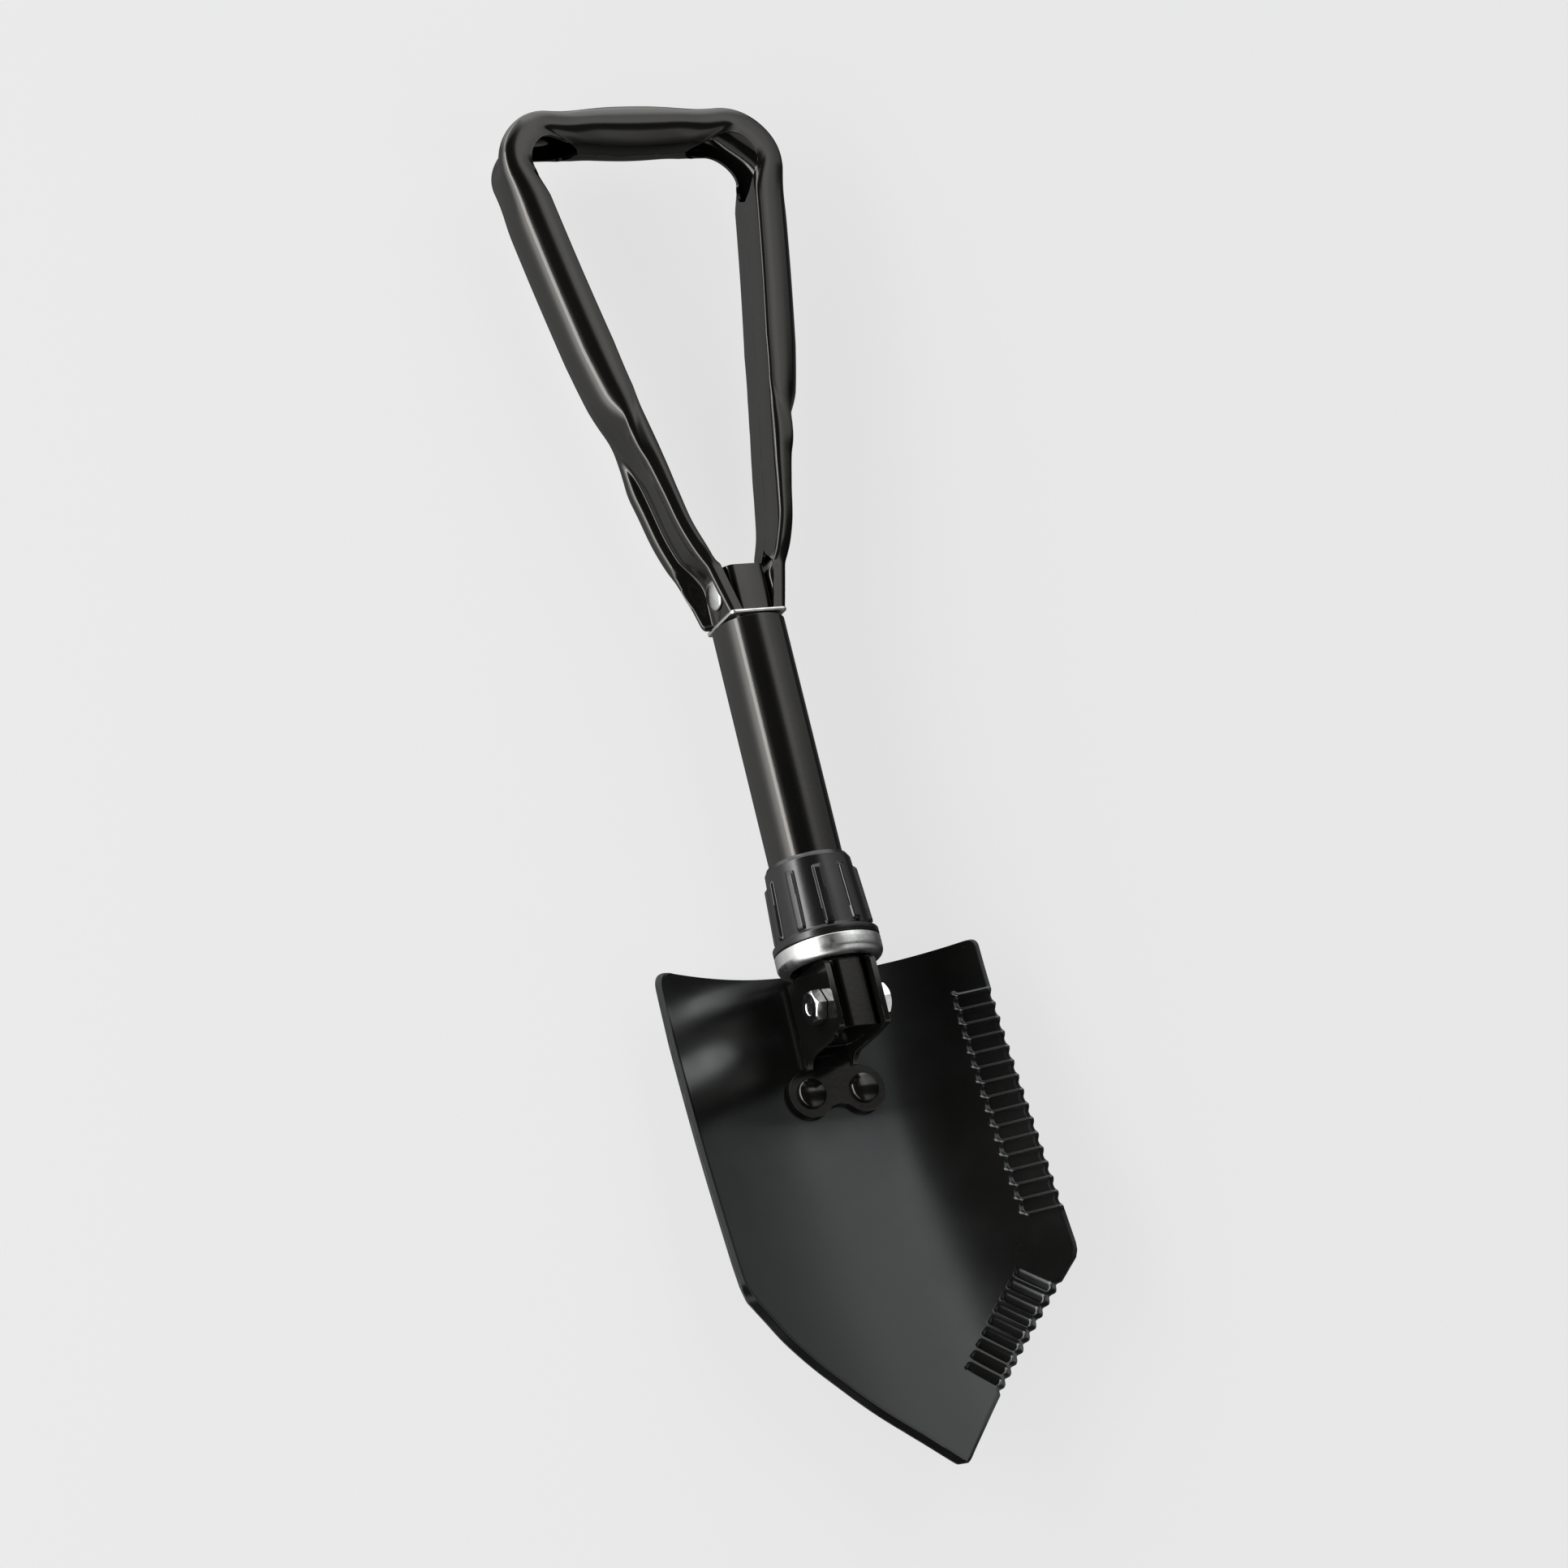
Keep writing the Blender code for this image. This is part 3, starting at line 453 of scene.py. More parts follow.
RIGHT_OUTLINE = (
    (8.0, 76.7), (-9.0, 76.9), (-70.0, 78.1), (-118.0, 78.5), (-129.0, 78.5), (-132.0, 78.1), (-135.0, 76.7),
    (-166.0, 47.9), (-200.0, 15.9), (-209.0, 7.2), (-212.0, 4.4), (-213.3, 3.0), (BLADE_TIP_Y, 1.8),
)
SAW_TOP_Y = -11.1
SAW_PITCH = 6.75
SAW_RIBS = 15  # spaces between the upper ribs
SAW_CUT = 1.0  # depth of the teeth
RIB_LENGTH = 15.6
RIB_HEIGHT = 0.7
RIB_HALF = 0.68  # how far from its middle a rib has dropped to a third of its height
RIB_HOOK = 1.3  # how far the inner end of each rib bends up
UPPER_POCKET = 1.1  # depth of the pockets between the ribs at their inner end
UPPER_POCKET_RIM = 0.3  # and beside the rim
UPPER_RIM = 1.3  # width of the rim left outside the pockets
LOW_RIB_LENGTH = 17.0
LOW_POCKET = 1.2  # depth in the middle of a channel
LOW_POCKET_TILT = 0.38  # its floor goes deeper towards the tip at this slope
LOW_RIM = 2.1
LEFT_CORNER_R = 6.5
RIGHT_CORNER_R = 3.5
LOW_EDGE_START = Vector((78.6, -134.0))
LOW_EDGE_RUN = Vector((-63.6, -66.0)).normalized()
LOW_EDGE_IN = Vector((LOW_EDGE_RUN.y, -LOW_EDGE_RUN.x))
LOW_SAW_TOP_Y = -145.5
LOW_SAW_PITCH_Y = 4.5
LOW_RIBS = 9
LOW_SAW_CUT = 1.3
LEAN_Y = (-113.5, -143.0, -187.0, -207.0)  # the rows lean over between these, to follow the lower channels
GROUND_EDGE = 3.6  # width of the ground bevel on the plain edges
RIM_LINE = 0.22  # height of the burr along the inner side of that bevel


# Where the mesh has its columns, as distances from the edges
NEAR_LEFT = (0.0, 0.35, 0.8, 1.3, 1.7, 2.1, 2.6, 3.2, 3.6, 4.0, 4.4, 5.0, 6.0, 7.4)
NEAR_RIGHT = (0.0, 0.3, *spaced(0.7, 23.2, 0.5))
MIDDLE_COLUMNS = 40


def blade_edge_z(y):
    """Height of the blade's sides."""
    share = between(BLADE_TOP_Y + 4.0, BLADE_WIDE_Y, y)
    return mix(BLADE_EDGE_TOP_Z, BLADE_EDGE_WIDE_Z, share**1.6)


def blade_floor_z(y):
    """Height of the strip down the middle, which rises towards the tip."""
    share = between(BLADE_FLAT_END_Y, BLADE_TIP_Y, y)
    return mix(BLADE_FLOOR_Z, BLADE_TIP_Z, share**1.6)


def past_flat(distance, softness):
    """Distance past the flat strip, rising smoothly from nothing."""
    return (distance + math.hypot(distance, softness)) / 2


def blade_z(x, y):
    """Height of the hollow face anywhere on the blade."""
    rise = blade_edge_z(y) - blade_floor_z(max(y, BLADE_WIDE_Y))
    softness = mix(5.0, 18.0, smoothstep(-60.0, -120.0, y))
    start = past_flat(-BLADE_FLAT_HALF, softness)
    full = past_flat(BLADE_HALF - BLADE_FLAT_HALF, softness) - start
    share = (past_flat(abs(x) - BLADE_FLAT_HALF, softness) - start) / full
    return blade_floor_z(y) + rise * share**1.5


def blade_normal(x, y):
    """Direction square to the hollow face."""
    step = 0.5
    slope_x = (blade_z(x + step, y) - blade_z(x - step, y)) / (2 * step)
    slope_y = (blade_z(x, y + step) - blade_z(x, y - step)) / (2 * step)
    return Vector((-slope_x, -slope_y, 1.0)).normalized()


def saw_cut(y):
    """How far the toothed right edge is cut back at y."""
    turns = (SAW_TOP_Y - y) / SAW_PITCH
    if 0.0 <= turns <= SAW_RIBS:
        part = turns % 1.0
        return SAW_CUT * (smoothstep(0.0, 0.45, part) - smoothstep(0.6, 1.0, part))
    return 0.0


def low_saw_cut(y):
    """How far the lower toothed edge is cut in at y, square to that edge: deepest between two channels."""
    turns = (LOW_SAW_TOP_Y - y) / LOW_SAW_PITCH_Y
    if 0.0 <= turns <= LOW_RIBS:
        return LOW_SAW_CUT * (1.0 + math.cos(math.tau * turns)) / 2
    return LOW_SAW_CUT * smoothstep(-0.4, 0.0, turns) * (1.0 - smoothstep(LOW_RIBS, LOW_RIBS + 0.4, turns))


def right_rim(y):
    """Point on the right edge in the row at y, and the direction of the row as it leaves that edge."""
    lean = smoothstep(LEAN_Y[0], LEAN_Y[1], y) * (1.0 - smoothstep(LEAN_Y[2], LEAN_Y[3], y))
    angle = lean * math.atan2(LOW_EDGE_IN.y, -LOW_EDGE_IN.x)
    inwards = Vector((-math.cos(angle), math.sin(angle)))
    return Vector((along(RIGHT_OUTLINE, y) - saw_cut(y), y)) + inwards * low_saw_cut(y), inwards


def upper_ribs(y, inward):
    """Height of the stamped ribs and the shallow pockets between them along the upper right edge."""
    hook = RIB_HOOK * smoothstep(RIB_LENGTH - 2.2, RIB_LENGTH - 0.2, inward)
    turns = (SAW_TOP_Y - y) / SAW_PITCH
    reach = 1.0 - smoothstep(RIB_LENGTH - 0.4, RIB_LENGTH + 0.5, inward)
    pocket = smoothstep(UPPER_RIM - 0.3, UPPER_RIM + 0.3, inward) * (1.0 - smoothstep(13.2, 15.2, inward))
    inside = smoothstep(0.0, 0.12, turns) * (1.0 - smoothstep(SAW_RIBS - 0.12, SAW_RIBS, turns))
    height = -mix(UPPER_POCKET_RIM, UPPER_POCKET, min(inward / RIB_LENGTH, 1.0)) * pocket * inside
    rib = min(max(round((SAW_TOP_Y - (y - hook)) / SAW_PITCH), 0), SAW_RIBS)
    away = abs(SAW_TOP_Y - (y - hook) - rib * SAW_PITCH)
    return mix(height, RIB_HEIGHT, math.exp(-((away / RIB_HALF) ** 2)) * reach)


def lower_ribs(x, y, inward):
    """Height of the stamped channels along the lower right edge."""
    run = (Vector((x, y)) - LOW_EDGE_START).dot(LOW_EDGE_RUN)
    pitch = LOW_SAW_PITCH_Y / abs(LOW_EDGE_RUN.y)
    turns = (run - (LOW_EDGE_START.y - LOW_SAW_TOP_Y) / abs(LOW_EDGE_RUN.y)) / pitch
    if not 0.0 < turns < LOW_RIBS:
        return 0.0
    half_channel = 0.31 * pitch
    past_end = max(inward - (LOW_RIB_LENGTH - half_channel), 0.0)
    across = math.hypot(abs(turns % 1.0 - 0.5) * pitch, past_end)
    channel = 1.0 - smoothstep(half_channel - 0.45, half_channel + 0.35, across)
    floor = LOW_POCKET + LOW_POCKET_TILT * (turns % 1.0 - 0.5) * pitch
    return -floor * channel * smoothstep(LOW_RIM - 0.35, LOW_RIM + 0.35, inward)


def ground_bevel(y, from_left, from_right):
    """How much the hollow face is ground away near the plain edges."""
    low_left = smoothstep(-126.0, -134.0, y)
    width = mix(1.4, GROUND_EDGE, low_left)
    depth = mix(0.6, 1.3, low_left)
    cut = depth * max(1.0 - from_left / width, 0.0)
    cut -= RIM_LINE * math.exp(-(((from_left - width - 0.5) / 0.5) ** 2))
    return cut + 0.5 * max(1.0 - from_right / 1.7, 0.0)


def corner_inset(depth, radius):
    """How far a round corner cuts into a side at this depth below the end."""
    if depth >= radius:
        return 0.0
    return radius - math.sqrt(max(radius**2 - (radius - depth) ** 2, 0.0))


def blade_row(row_y):
    """Points across one row: (x, y, distance from the left edge, distance from the right edge)."""
    depth = BLADE_TOP_Y - row_y
    left = corner_inset(depth, LEFT_CORNER_R) - along(LEFT_OUTLINE, row_y)
    rim, inwards = right_rim(row_y)
    rim.x -= corner_inset(depth, RIGHT_CORNER_R)
    squeeze = min((rim.x - left) / (NEAR_LEFT[-1] + NEAR_RIGHT[-1] + 4.0), 1.0)
    points = [Vector((left + d * squeeze, row_y)) for d in NEAR_LEFT]
    right_points = [rim + inwards * d * squeeze for d in reversed(NEAR_RIGHT)]
    inner_left = points[-1]
    for k in range(1, MIDDLE_COLUMNS):
        share = k / MIDDLE_COLUMNS
        straight = inner_left.lerp(right_points[0], share)
        points.append(Vector((straight.x, mix(row_y, right_points[0].y, smoothstep(0.0, 1.0, share)))))
    points += right_points
    return [(point.x, point.y, point.x - left, (rim - point).dot(-inwards)) for point in points]


def blade_rows():
    """Where the mesh has its rows: close together on the corners, the ribs and the channels."""
    rows = [BLADE_TOP_Y - d for d in (0.0, 0.12, 0.4, 0.8, 1.3, 1.9, 2.6, 3.4, 4.3, 5.3, 6.5)]
    rows += spaced(0.0, SAW_TOP_Y + 2.6, 1.2)
    round_rib = (2.1, 1.7, 1.35, 1.05, 0.8, 0.55, 0.3, 0.1, -0.1, -0.3, -0.55, -0.85, -1.4, -2.3, -3.3)
    for rib in range(SAW_RIBS + 1):
        rows += [SAW_TOP_Y - rib * SAW_PITCH + d for d in round_rib]
    rows += spaced(-116.6, -139.0, 1.0)
    rows += spaced(-139.4, -197.0, 0.42)
    rows += spaced(-198.0, -211.0, 1.0)
    return rows + [-212.0, -212.9, -213.5, BLADE_TIP_Y]


def blade_points(row_y):
    """Points of the hollow face and of the back in one row."""
    lift = BLADE_TOP_CURVE * smoothstep(-12.0, BLADE_TOP_Y, row_y)
    front = []
    back = []
    for x, flat_y, from_left, from_right in blade_row(row_y):
        y = flat_y + lift * (x / BLADE_HALF) ** 2
        point = Vector((x, y, blade_z(x, y)))
        normal = blade_normal(x, y)
        stamped = upper_ribs(row_y, from_right) + lower_ribs(x, y, from_right)
        front.append(point + normal * (stamped - ground_bevel(row_y, from_left, from_right)))
        back.append(point + normal * (stamped - BLADE_SHEET))
    return front, back


def around(grid):
    """The outer points of a grid in order, from its first corner."""
    right = [row[-1] for row in grid[1:]]
    left = [row[0] for row in grid[-2:0:-1]]
    return grid[0] + right + grid[-1][-2::-1] + left


def make_blade(material):
    sides = [blade_points(row_y) for row_y in blade_rows()]
    draft = bmesh.new()
    top = [[draft.verts.new(p) for p in front] for front, back in sides]
    low = [[draft.verts.new(p) for p in back] for front, back in sides]
    for j in range(len(top) - 1):
        for i in range(len(top[0]) - 1):
            draft.faces.new((top[j][i], top[j + 1][i], top[j + 1][i + 1], top[j][i + 1]))
            draft.faces.new((low[j][i], low[j][i + 1], low[j + 1][i + 1], low[j + 1][i]))
    rim_top = around(top)
    rim_low = around(low)
    for k in range(len(rim_top)):
        draft.faces.new((rim_top[k - 1], rim_top[k], rim_low[k], rim_low[k - 1]))
    weight = draft.edges.layers.float.new("bevel_weight_edge")
    for loop in (rim_top, rim_low):
        for k in range(len(loop)):
            draft.edges.get((loop[k - 1], loop[k]))[weight] = 1.0
    blade = to_object("blade_shell", draft, material, sharp=55.0)
    modifier = blade.modifiers.new("rim", "BEVEL")
    modifier.limit_method = "WEIGHT"
    modifier.width = BLADE_RIM_R * MM
    modifier.segments = 2
    settle(blade)
    drill_rivet_holes(blade)
    stands_for(blade, "blade", "blade_assembly")


# ---- bracket and rivets

EAR_OUT = 12.0
EAR_SHEET = 2.4
EAR_FRONT_Z = 17.0
EAR_TOP_Y = 3.2
EAR_LOW_Y = -28.0
EAR_CORNER_R = 3.5
FOOT_Z = BLADE_FLOOR_Z + GAP
BRACKET_SHEET = 2.3
BEND_R = 3.4
LOBE_X = 12.5
LOBE_Y = -44.5
LOBE_R = 10.3
WAIST_Y = -50.0
RIVET_PLACES = ((-LOBE_X, LOBE_Y), (LOBE_X, LOBE_Y), (0.0, -9.0))
RIVET_R = 3.0
RIVET_HEAD_R = 6.5
RIVET_HEAD_H = 3.0
TOP_RIVET_HEAD_H = 1.2
RIVET_TAIL_R = 4.8
RIVET_TAIL_H = 1.8
BOLT_R = 4.0


def drill_rivet_holes(thing):
    """Cut the holes of the bracket's rivets. The drills stop at the shaft's centre line."""
    for x, y in RIVET_PLACES:
        drill(thing, RIVET_R + GAP, (x, y, -DRILL_REACH), TURN_TO_Z)


def channel_outline():
    """Cross-section of the folded part of the bracket, as (X, Z): a U with round bends."""
    inner = EAR_OUT - EAR_SHEET
    bend = BEND_R - EAR_SHEET
    top = EAR_FRONT_Z + 2.0
    base = FOOT_Z + BRACKET_SHEET
    points = [(-EAR_OUT, top)]
    points += arc(-EAR_OUT + BEND_R, FOOT_Z + BEND_R, BEND_R, 180.0, 270.0, 8)
    points += arc(EAR_OUT - BEND_R, FOOT_Z + BEND_R, BEND_R, 270.0, 360.0, 8)
    points += [(EAR_OUT, top), (inner, top)]
    points += arc(inner - bend, base + bend, bend, 0.0, -90.0, 5)
    points += arc(-inner + bend, base + bend, bend, -90.0, -180.0, 5)
    return points + [(-inner, top)]


def ear_outline():
    """Side view of the folded part as (Y, Z) points."""
    r = EAR_CORNER_R
    top = [(EAR_TOP_Y, FOOT_Z - 1.0)]
    top += arc(EAR_TOP_Y - r, EAR_FRONT_Z - r, r, 0.0, 90.0, 10)
    low = arc(EAR_LOW_Y + 2.0, EAR_FRONT_Z - 2.0, 2.0, 90.0, 180.0, 6)
    foot = [(EAR_LOW_Y - 1.2, 4.0), (EAR_LOW_Y - 1.7, -9.0)]
    foot += arc(EAR_LOW_Y - 9.9, FOOT_Z + 10.5, 8.0, 0.0, -62.0, 8)
    foot += [(EAR_LOW_Y - 6.4, FOOT_Z - 1.0)]
    return top + low + foot


def foot_outline():
    """Outline of the flat foot: a strip under the ears that ends in two round lobes."""
    half = EAR_OUT - 1.5
    right = [(half, -20.0), (half + 0.3, -28.0), (half + 1.2, -32.0)]
    right += arc(LOBE_X, LOBE_Y, LOBE_R, 78.0, -122.0, 30)
    waist = [(4.2, -50.9), (2.0, -50.3), (0.0, WAIST_Y), (-2.0, -50.3), (-4.2, -50.9)]
    left = [(-x, y) for x, y in reversed(right)]
    return right + waist + left


def make_bracket(material):
    bracket = to_object("bracket_yoke", prism(channel_outline(), "Y", -60.0, 10.0), material)
    combine(bracket, to_object("side", prism(ear_outline(), "X", -20.0, 20.0), None), "INTERSECT")
    foot = to_object("foot", prism(foot_outline(), "Z", FOOT_Z, FOOT_Z + BRACKET_SHEET - 0.02), None)
    combine(bracket, foot, "UNION")
    drill(bracket, BOLT_R + GAP, PIVOT, TURN_TO_X)
    drill_rivet_holes(bracket)
    round_edges(bracket, 0.55)
    bracket.data.materials.clear()
    bracket.data.materials.append(material)
    stands_for(bracket, "blade_bracket", "blade_assembly")


def dome(radius, seat, rim, height, degrees):
    """Profile of a domed head from its crown to its rim. Negative heights turn it upside down."""
    points = [(0.0, seat + height)]
    for angle in map(math.radians, degrees):
        points.append((radius * math.sin(angle), seat + rim + (height - rim) * math.cos(angle)))
    return points


def make_bracket_rivets(material):
    seat = FOOT_Z + BRACKET_SHEET + GAP
    back = BLADE_FLOOR_Z - BLADE_SHEET - GAP
    names = ("left", "right", "top")
    for name, (x, y) in zip(names, RIVET_PLACES):
        height = TOP_RIVET_HEAD_H if name == "top" else RIVET_HEAD_H
        rim = 0.3 if name == "top" else 0.7
        profile = dome(RIVET_HEAD_R, seat, rim, height, range(8, 89, 8))
        profile += [(RIVET_HEAD_R, seat + rim * 0.6), (RIVET_HEAD_R - 0.15, seat + 0.1)]
        profile += [(RIVET_HEAD_R - 0.4, seat), (RIVET_R, seat), (RIVET_R, back), (RIVET_TAIL_R - 0.3, back)]
        profile += [(RIVET_TAIL_R, back - 0.3), (RIVET_TAIL_R * 0.92, back - 1.1)]
        profile += [(RIVET_TAIL_R * 0.8, back - RIVET_TAIL_H), (0.0, back - RIVET_TAIL_H)]
        rivet = to_object(f"rivet_{name}", moved(turned(profile, 48, TURN_TO_Z), (x, y, 0.0)), material)
        stands_for(rivet, f"bracket_rivet_{name}", "blade_assembly")


# ---- bolt and nut

HEX_FLAT_R = 6.5
HEX_POINTS = 72
THREAD_START_X = 12.0
THREAD_TURNS = 6  # grooves that stand for the thread past the ear


def circle(radius, y):
    """Ring of points round Y."""
    return [ring_point(radius, math.tau * k / HEX_POINTS, y) for k in range(HEX_POINTS)]


def hexagon(y, chamfer_from, slope, side):
    """Ring of points on a hexagon whose corners are cut by a cone, so each flat ends in a curve."""
    ring = []
    for k in range(HEX_POINTS):
        angle = math.tau * k / HEX_POINTS
        to_flat = (angle + math.pi / 6) % (math.pi / 3) - math.pi / 6
        radius = HEX_FLAT_R / math.cos(to_flat)
        drop = max(radius - chamfer_from, 0.0) * slope
        ring.append(ring_point(radius, angle, y - side * drop))
    return ring


def fit_fastener(name, draft, node, material):
    """Turn a drawing round Y to lie along the pivot."""
    bmesh.ops.transform(draft, matrix=TURN_TO_X, verts=draft.verts[:])
    thing = to_object(name, moved(draft, PIVOT), material, sharp=25.0)
    stands_for(thing, node, "blade_assembly")


def make_pivot_bolt(material):
    low, high = drawn_box("pivot_bolt")
    head_end = low.x
    head_seat = -(EAR_OUT + GAP)
    face_r = HEX_FLAT_R - 0.25
    dish = ((2.6, 0.45), (3.0, 0.35), (3.3, 0.04), (face_r - 0.25, 0.0), (face_r, 0.06))
    rings = [circle(radius, head_end + depth) for radius, depth in dish]
    rings.append(hexagon(head_end + 0.2, face_r, 0.62, -1))
    rings.append(hexagon(head_seat - 0.12, HEX_FLAT_R + 2.0, 0.0, 1))
    rings.append(circle(HEX_FLAT_R - 0.1, head_seat))
    rings.append(circle(BOLT_R, head_seat))
    rings.append(circle(BOLT_R, THREAD_START_X))
    pitch = (high.x - 1.0 - THREAD_START_X) / THREAD_TURNS
    for k in range(THREAD_TURNS):
        rings.append(circle(BOLT_R - 0.55, THREAD_START_X + (k + 0.5) * pitch))
        rings.append(circle(BOLT_R, THREAD_START_X + (k + 1.0) * pitch))
    rings.append(circle(BOLT_R - 0.9, high.x))
    fit_fastener("hex_bolt", skin(rings, closed_ends=True), "pivot_bolt", material)


def make_pivot_nut(material):
    low, high = drawn_box("pivot_nut")
    face_r = HEX_FLAT_R - 0.2
    bore = BOLT_R + GAP
    rings = [
        circle(bore, low.x),
        circle(face_r, low.x),
        hexagon(low.x + 0.2, face_r, 0.6, -1),
        hexagon(high.x - 0.2, face_r, 0.6, 1),
        circle(face_r, high.x),
        circle(bore + 0.5, high.x),
        circle(bore, high.x - 0.5),
    ]
    fit_fastener("hex_nut", looped(rings), "pivot_nut", material)


# ---- shaft, collar and ring

TUBE_R = 16.0
TUBE_WALL = 1.5
TONGUE_HALF_X = 9.2
TONGUE_HALF_Z = 15.0
TONGUE_CORNER = 6.0
TONGUE_TOP_Y = 8.0
TUBE_ROUND_Y = 20.0


def make_shaft_tube(material):
    low, high = drawn_box("shaft_tube")
    per_corner = 18
    rings = []
    tongue_rows = [low.y] + spaced(low.y + 0.5, TONGUE_TOP_Y, 5.0)
    for y in tongue_rows + spaced(TONGUE_TOP_Y, TUBE_ROUND_Y, 0.8)[1:]:
        share = smoothstep(TONGUE_TOP_Y, TUBE_ROUND_Y, y)
        half_x = mix(TONGUE_HALF_X, TUBE_R, share)
        half_z = mix(TONGUE_HALF_Z, TUBE_R, share)
        rings.append(round_box(half_x, half_z, mix(TONGUE_CORNER, TUBE_R, share), y, per_corner))
    for y in spaced(TUBE_ROUND_Y, high.y, 20.0)[1:]:
        rings.append(round_box(TUBE_R, TUBE_R, TUBE_R, y, per_corner))
    tube = to_object("tube", skin(rings), material)
    solidify(tube, TUBE_WALL, 1.0)
    drill(tube, BOLT_R + GAP, PIVOT, TURN_TO_X)
    round_edges(tube, 0.35, 2, 50.0)
    stands_for(tube, "shaft_tube", "shaft")


COLLAR_FLANGE_H = 3.5
COLLAR_BODY_R = 20.5
COLLAR_BORE = 18.0
COLLAR_TAPER = 1.8  # how much smaller the body is at its top
COLLAR_RIBS = 10
COLLAR_RIB_TURN = 0.03  # where the first rib stands, as a share of their spacing
COLLAR_RIB_OUT = 1.3
COLLAR_RIB_Y = (17.5, 43.5)
COLLAR_RIB_HALF = 1.5  # half width of a rib
COLLAR_STEPS = 40 * COLLAR_RIBS  # points round the collar


def collar_profile():
    """Outline of the collar from its bore round its outside: (radius, Y, whether ribs stand on it)."""
    low, high = drawn_box("locking_collar")
    flange_r = high.x
    flange = low.y + COLLAR_FLANGE_H
    shoulder = high.y - 2.6
    top_r = COLLAR_BODY_R - COLLAR_TAPER
    foot = [(COLLAR_BORE, low.y), (flange_r - 0.7, low.y)]
    foot += arc(flange_r - 0.5, low.y + 0.5, 0.5, -90.0, 0.0, 4)
    foot += arc(flange_r - 0.9, flange - 0.9, 0.9, 0.0, 90.0, 5)
    foot += [(COLLAR_BODY_R + 1.2, flange + 0.1), (COLLAR_BODY_R + 0.4, flange + 0.45)]
    body = [
        (COLLAR_BODY_R - COLLAR_TAPER * between(flange, shoulder, y), y)
        for y in spaced(flange + 1.1, shoulder, 0.6)
    ]
    top = arc(top_r - 0.9, shoulder + 0.2, 0.9, 5.0, 60.0, 5)
    top += arc(TUBE_R + 1.2, high.y - 0.5, 0.5, 20.0, 90.0, 3)
    top += [(TUBE_R + GAP, high.y), (TUBE_R + GAP, high.y - 1.2), (COLLAR_BORE, high.y - 1.6)]
    return [(*point, part is body) for part in (foot, body, top) for point in part]


def collar_rib(angle, radius, y):
    """How far the nearest rib stands out."""
    offset = (angle / math.tau * COLLAR_RIBS + COLLAR_RIB_TURN + 0.5) % 1.0 - 0.5
    across = abs(offset) * math.tau / COLLAR_RIBS * radius
    low, high = COLLAR_RIB_Y
    ends = smoothstep(low - 0.4, low + 1.2, y) * (1.0 - smoothstep(high - 1.2, high + 0.4, y))
    return COLLAR_RIB_OUT * ends * (1.0 - smoothstep(COLLAR_RIB_HALF - 0.35, COLLAR_RIB_HALF + 0.55, across))


def make_locking_collar(material):
    angles = [math.tau * k / COLLAR_STEPS for k in range(COLLAR_STEPS)]
    rings = []
    for radius, y, ribbed in collar_profile():
        outer = [radius + ribbed * collar_rib(angle, radius, y) for angle in angles]
        rings.append([ring_point(r, angle, y) for r, angle in zip(outer, angles)])
    collar = to_object("ribbed_collar", looped(rings), material, sharp=50.0)
    stands_for(collar, "locking_collar", "lock_collar")


def make_collar_ring(material):
    low, high = drawn_box("collar_ring")
    r = high.x
    bore = COLLAR_BORE
    profile = [(bore, low.y + 0.3), (bore + 0.3, low.y), (r - 3.4, low.y)]
    profile += arc(r - 3.6, low.y + 3.6, 3.6, -80.0, 0.0, 10)
    profile += arc(r - 0.6, high.y - 0.6, 0.6, 0.0, 90.0, 5) + [(bore + 0.3, high.y), (bore, high.y - 0.3)]
    ring = to_object("zinc_ring", turned(profile, 128, loop=True), material, sharp=30.0)
    stands_for(ring, "collar_ring", "lock_ring")


# ---- neck, spring, stop plate

NECK_HALF_X = 10.0
NECK_HALF_Z = 11.0
NECK_CORNER = 5.0
NECK_WALL = 1.5
PLATE_CORNER_R = 2.2
PLATE_EASE = 0.35  # how far the plate's edges are eased
HANDLE_RIVET_R = 3.2


def make_neck_tube(material):
    low, high = drawn_box("neck_tube")
    rings = [round_box(NECK_HALF_X, NECK_HALF_Z, NECK_CORNER, y, 14) for y in spaced(low.y, high.y, 12.0)]
    neck = to_object("neck", skin(rings), material)
    solidify(neck, NECK_WALL, 1.0)
    drill(neck, HANDLE_RIVET_R + GAP, HANDLE_AXIS, TURN_TO_X)
    round_edges(neck, 0.35, 2, 50.0)
    stands_for(neck, "neck_tube", "shaft")


def make_stop_plate(material):
    low, high = drawn_box("stop_plate")
    outer = (high.x + 0.04, high.z + 0.04, PLATE_CORNER_R)
    inner = (NECK_HALF_X + GAP, NECK_HALF_Z + GAP, NECK_CORNER + GAP)
    ease = ((PLATE_EASE, 0.0), (PLATE_EASE * 0.3, PLATE_EASE * 0.3), (0.0, PLATE_EASE))
    places = [(outer, shrink, low.y + up) for shrink, up in ease]
    places += [(outer, shrink, high.y - up) for shrink, up in reversed(ease)]
    places += [(inner, 0.0, high.y), (inner, 0.0, low.y)]
    rings = [round_box(*(size - shrink for size in sizes), y, 14) for sizes, shrink, y in places]
    plate = to_object("square_stop_plate", looped(rings), material)
    stands_for(plate, "stop_plate", "stop_plate_body")


# ---- handle

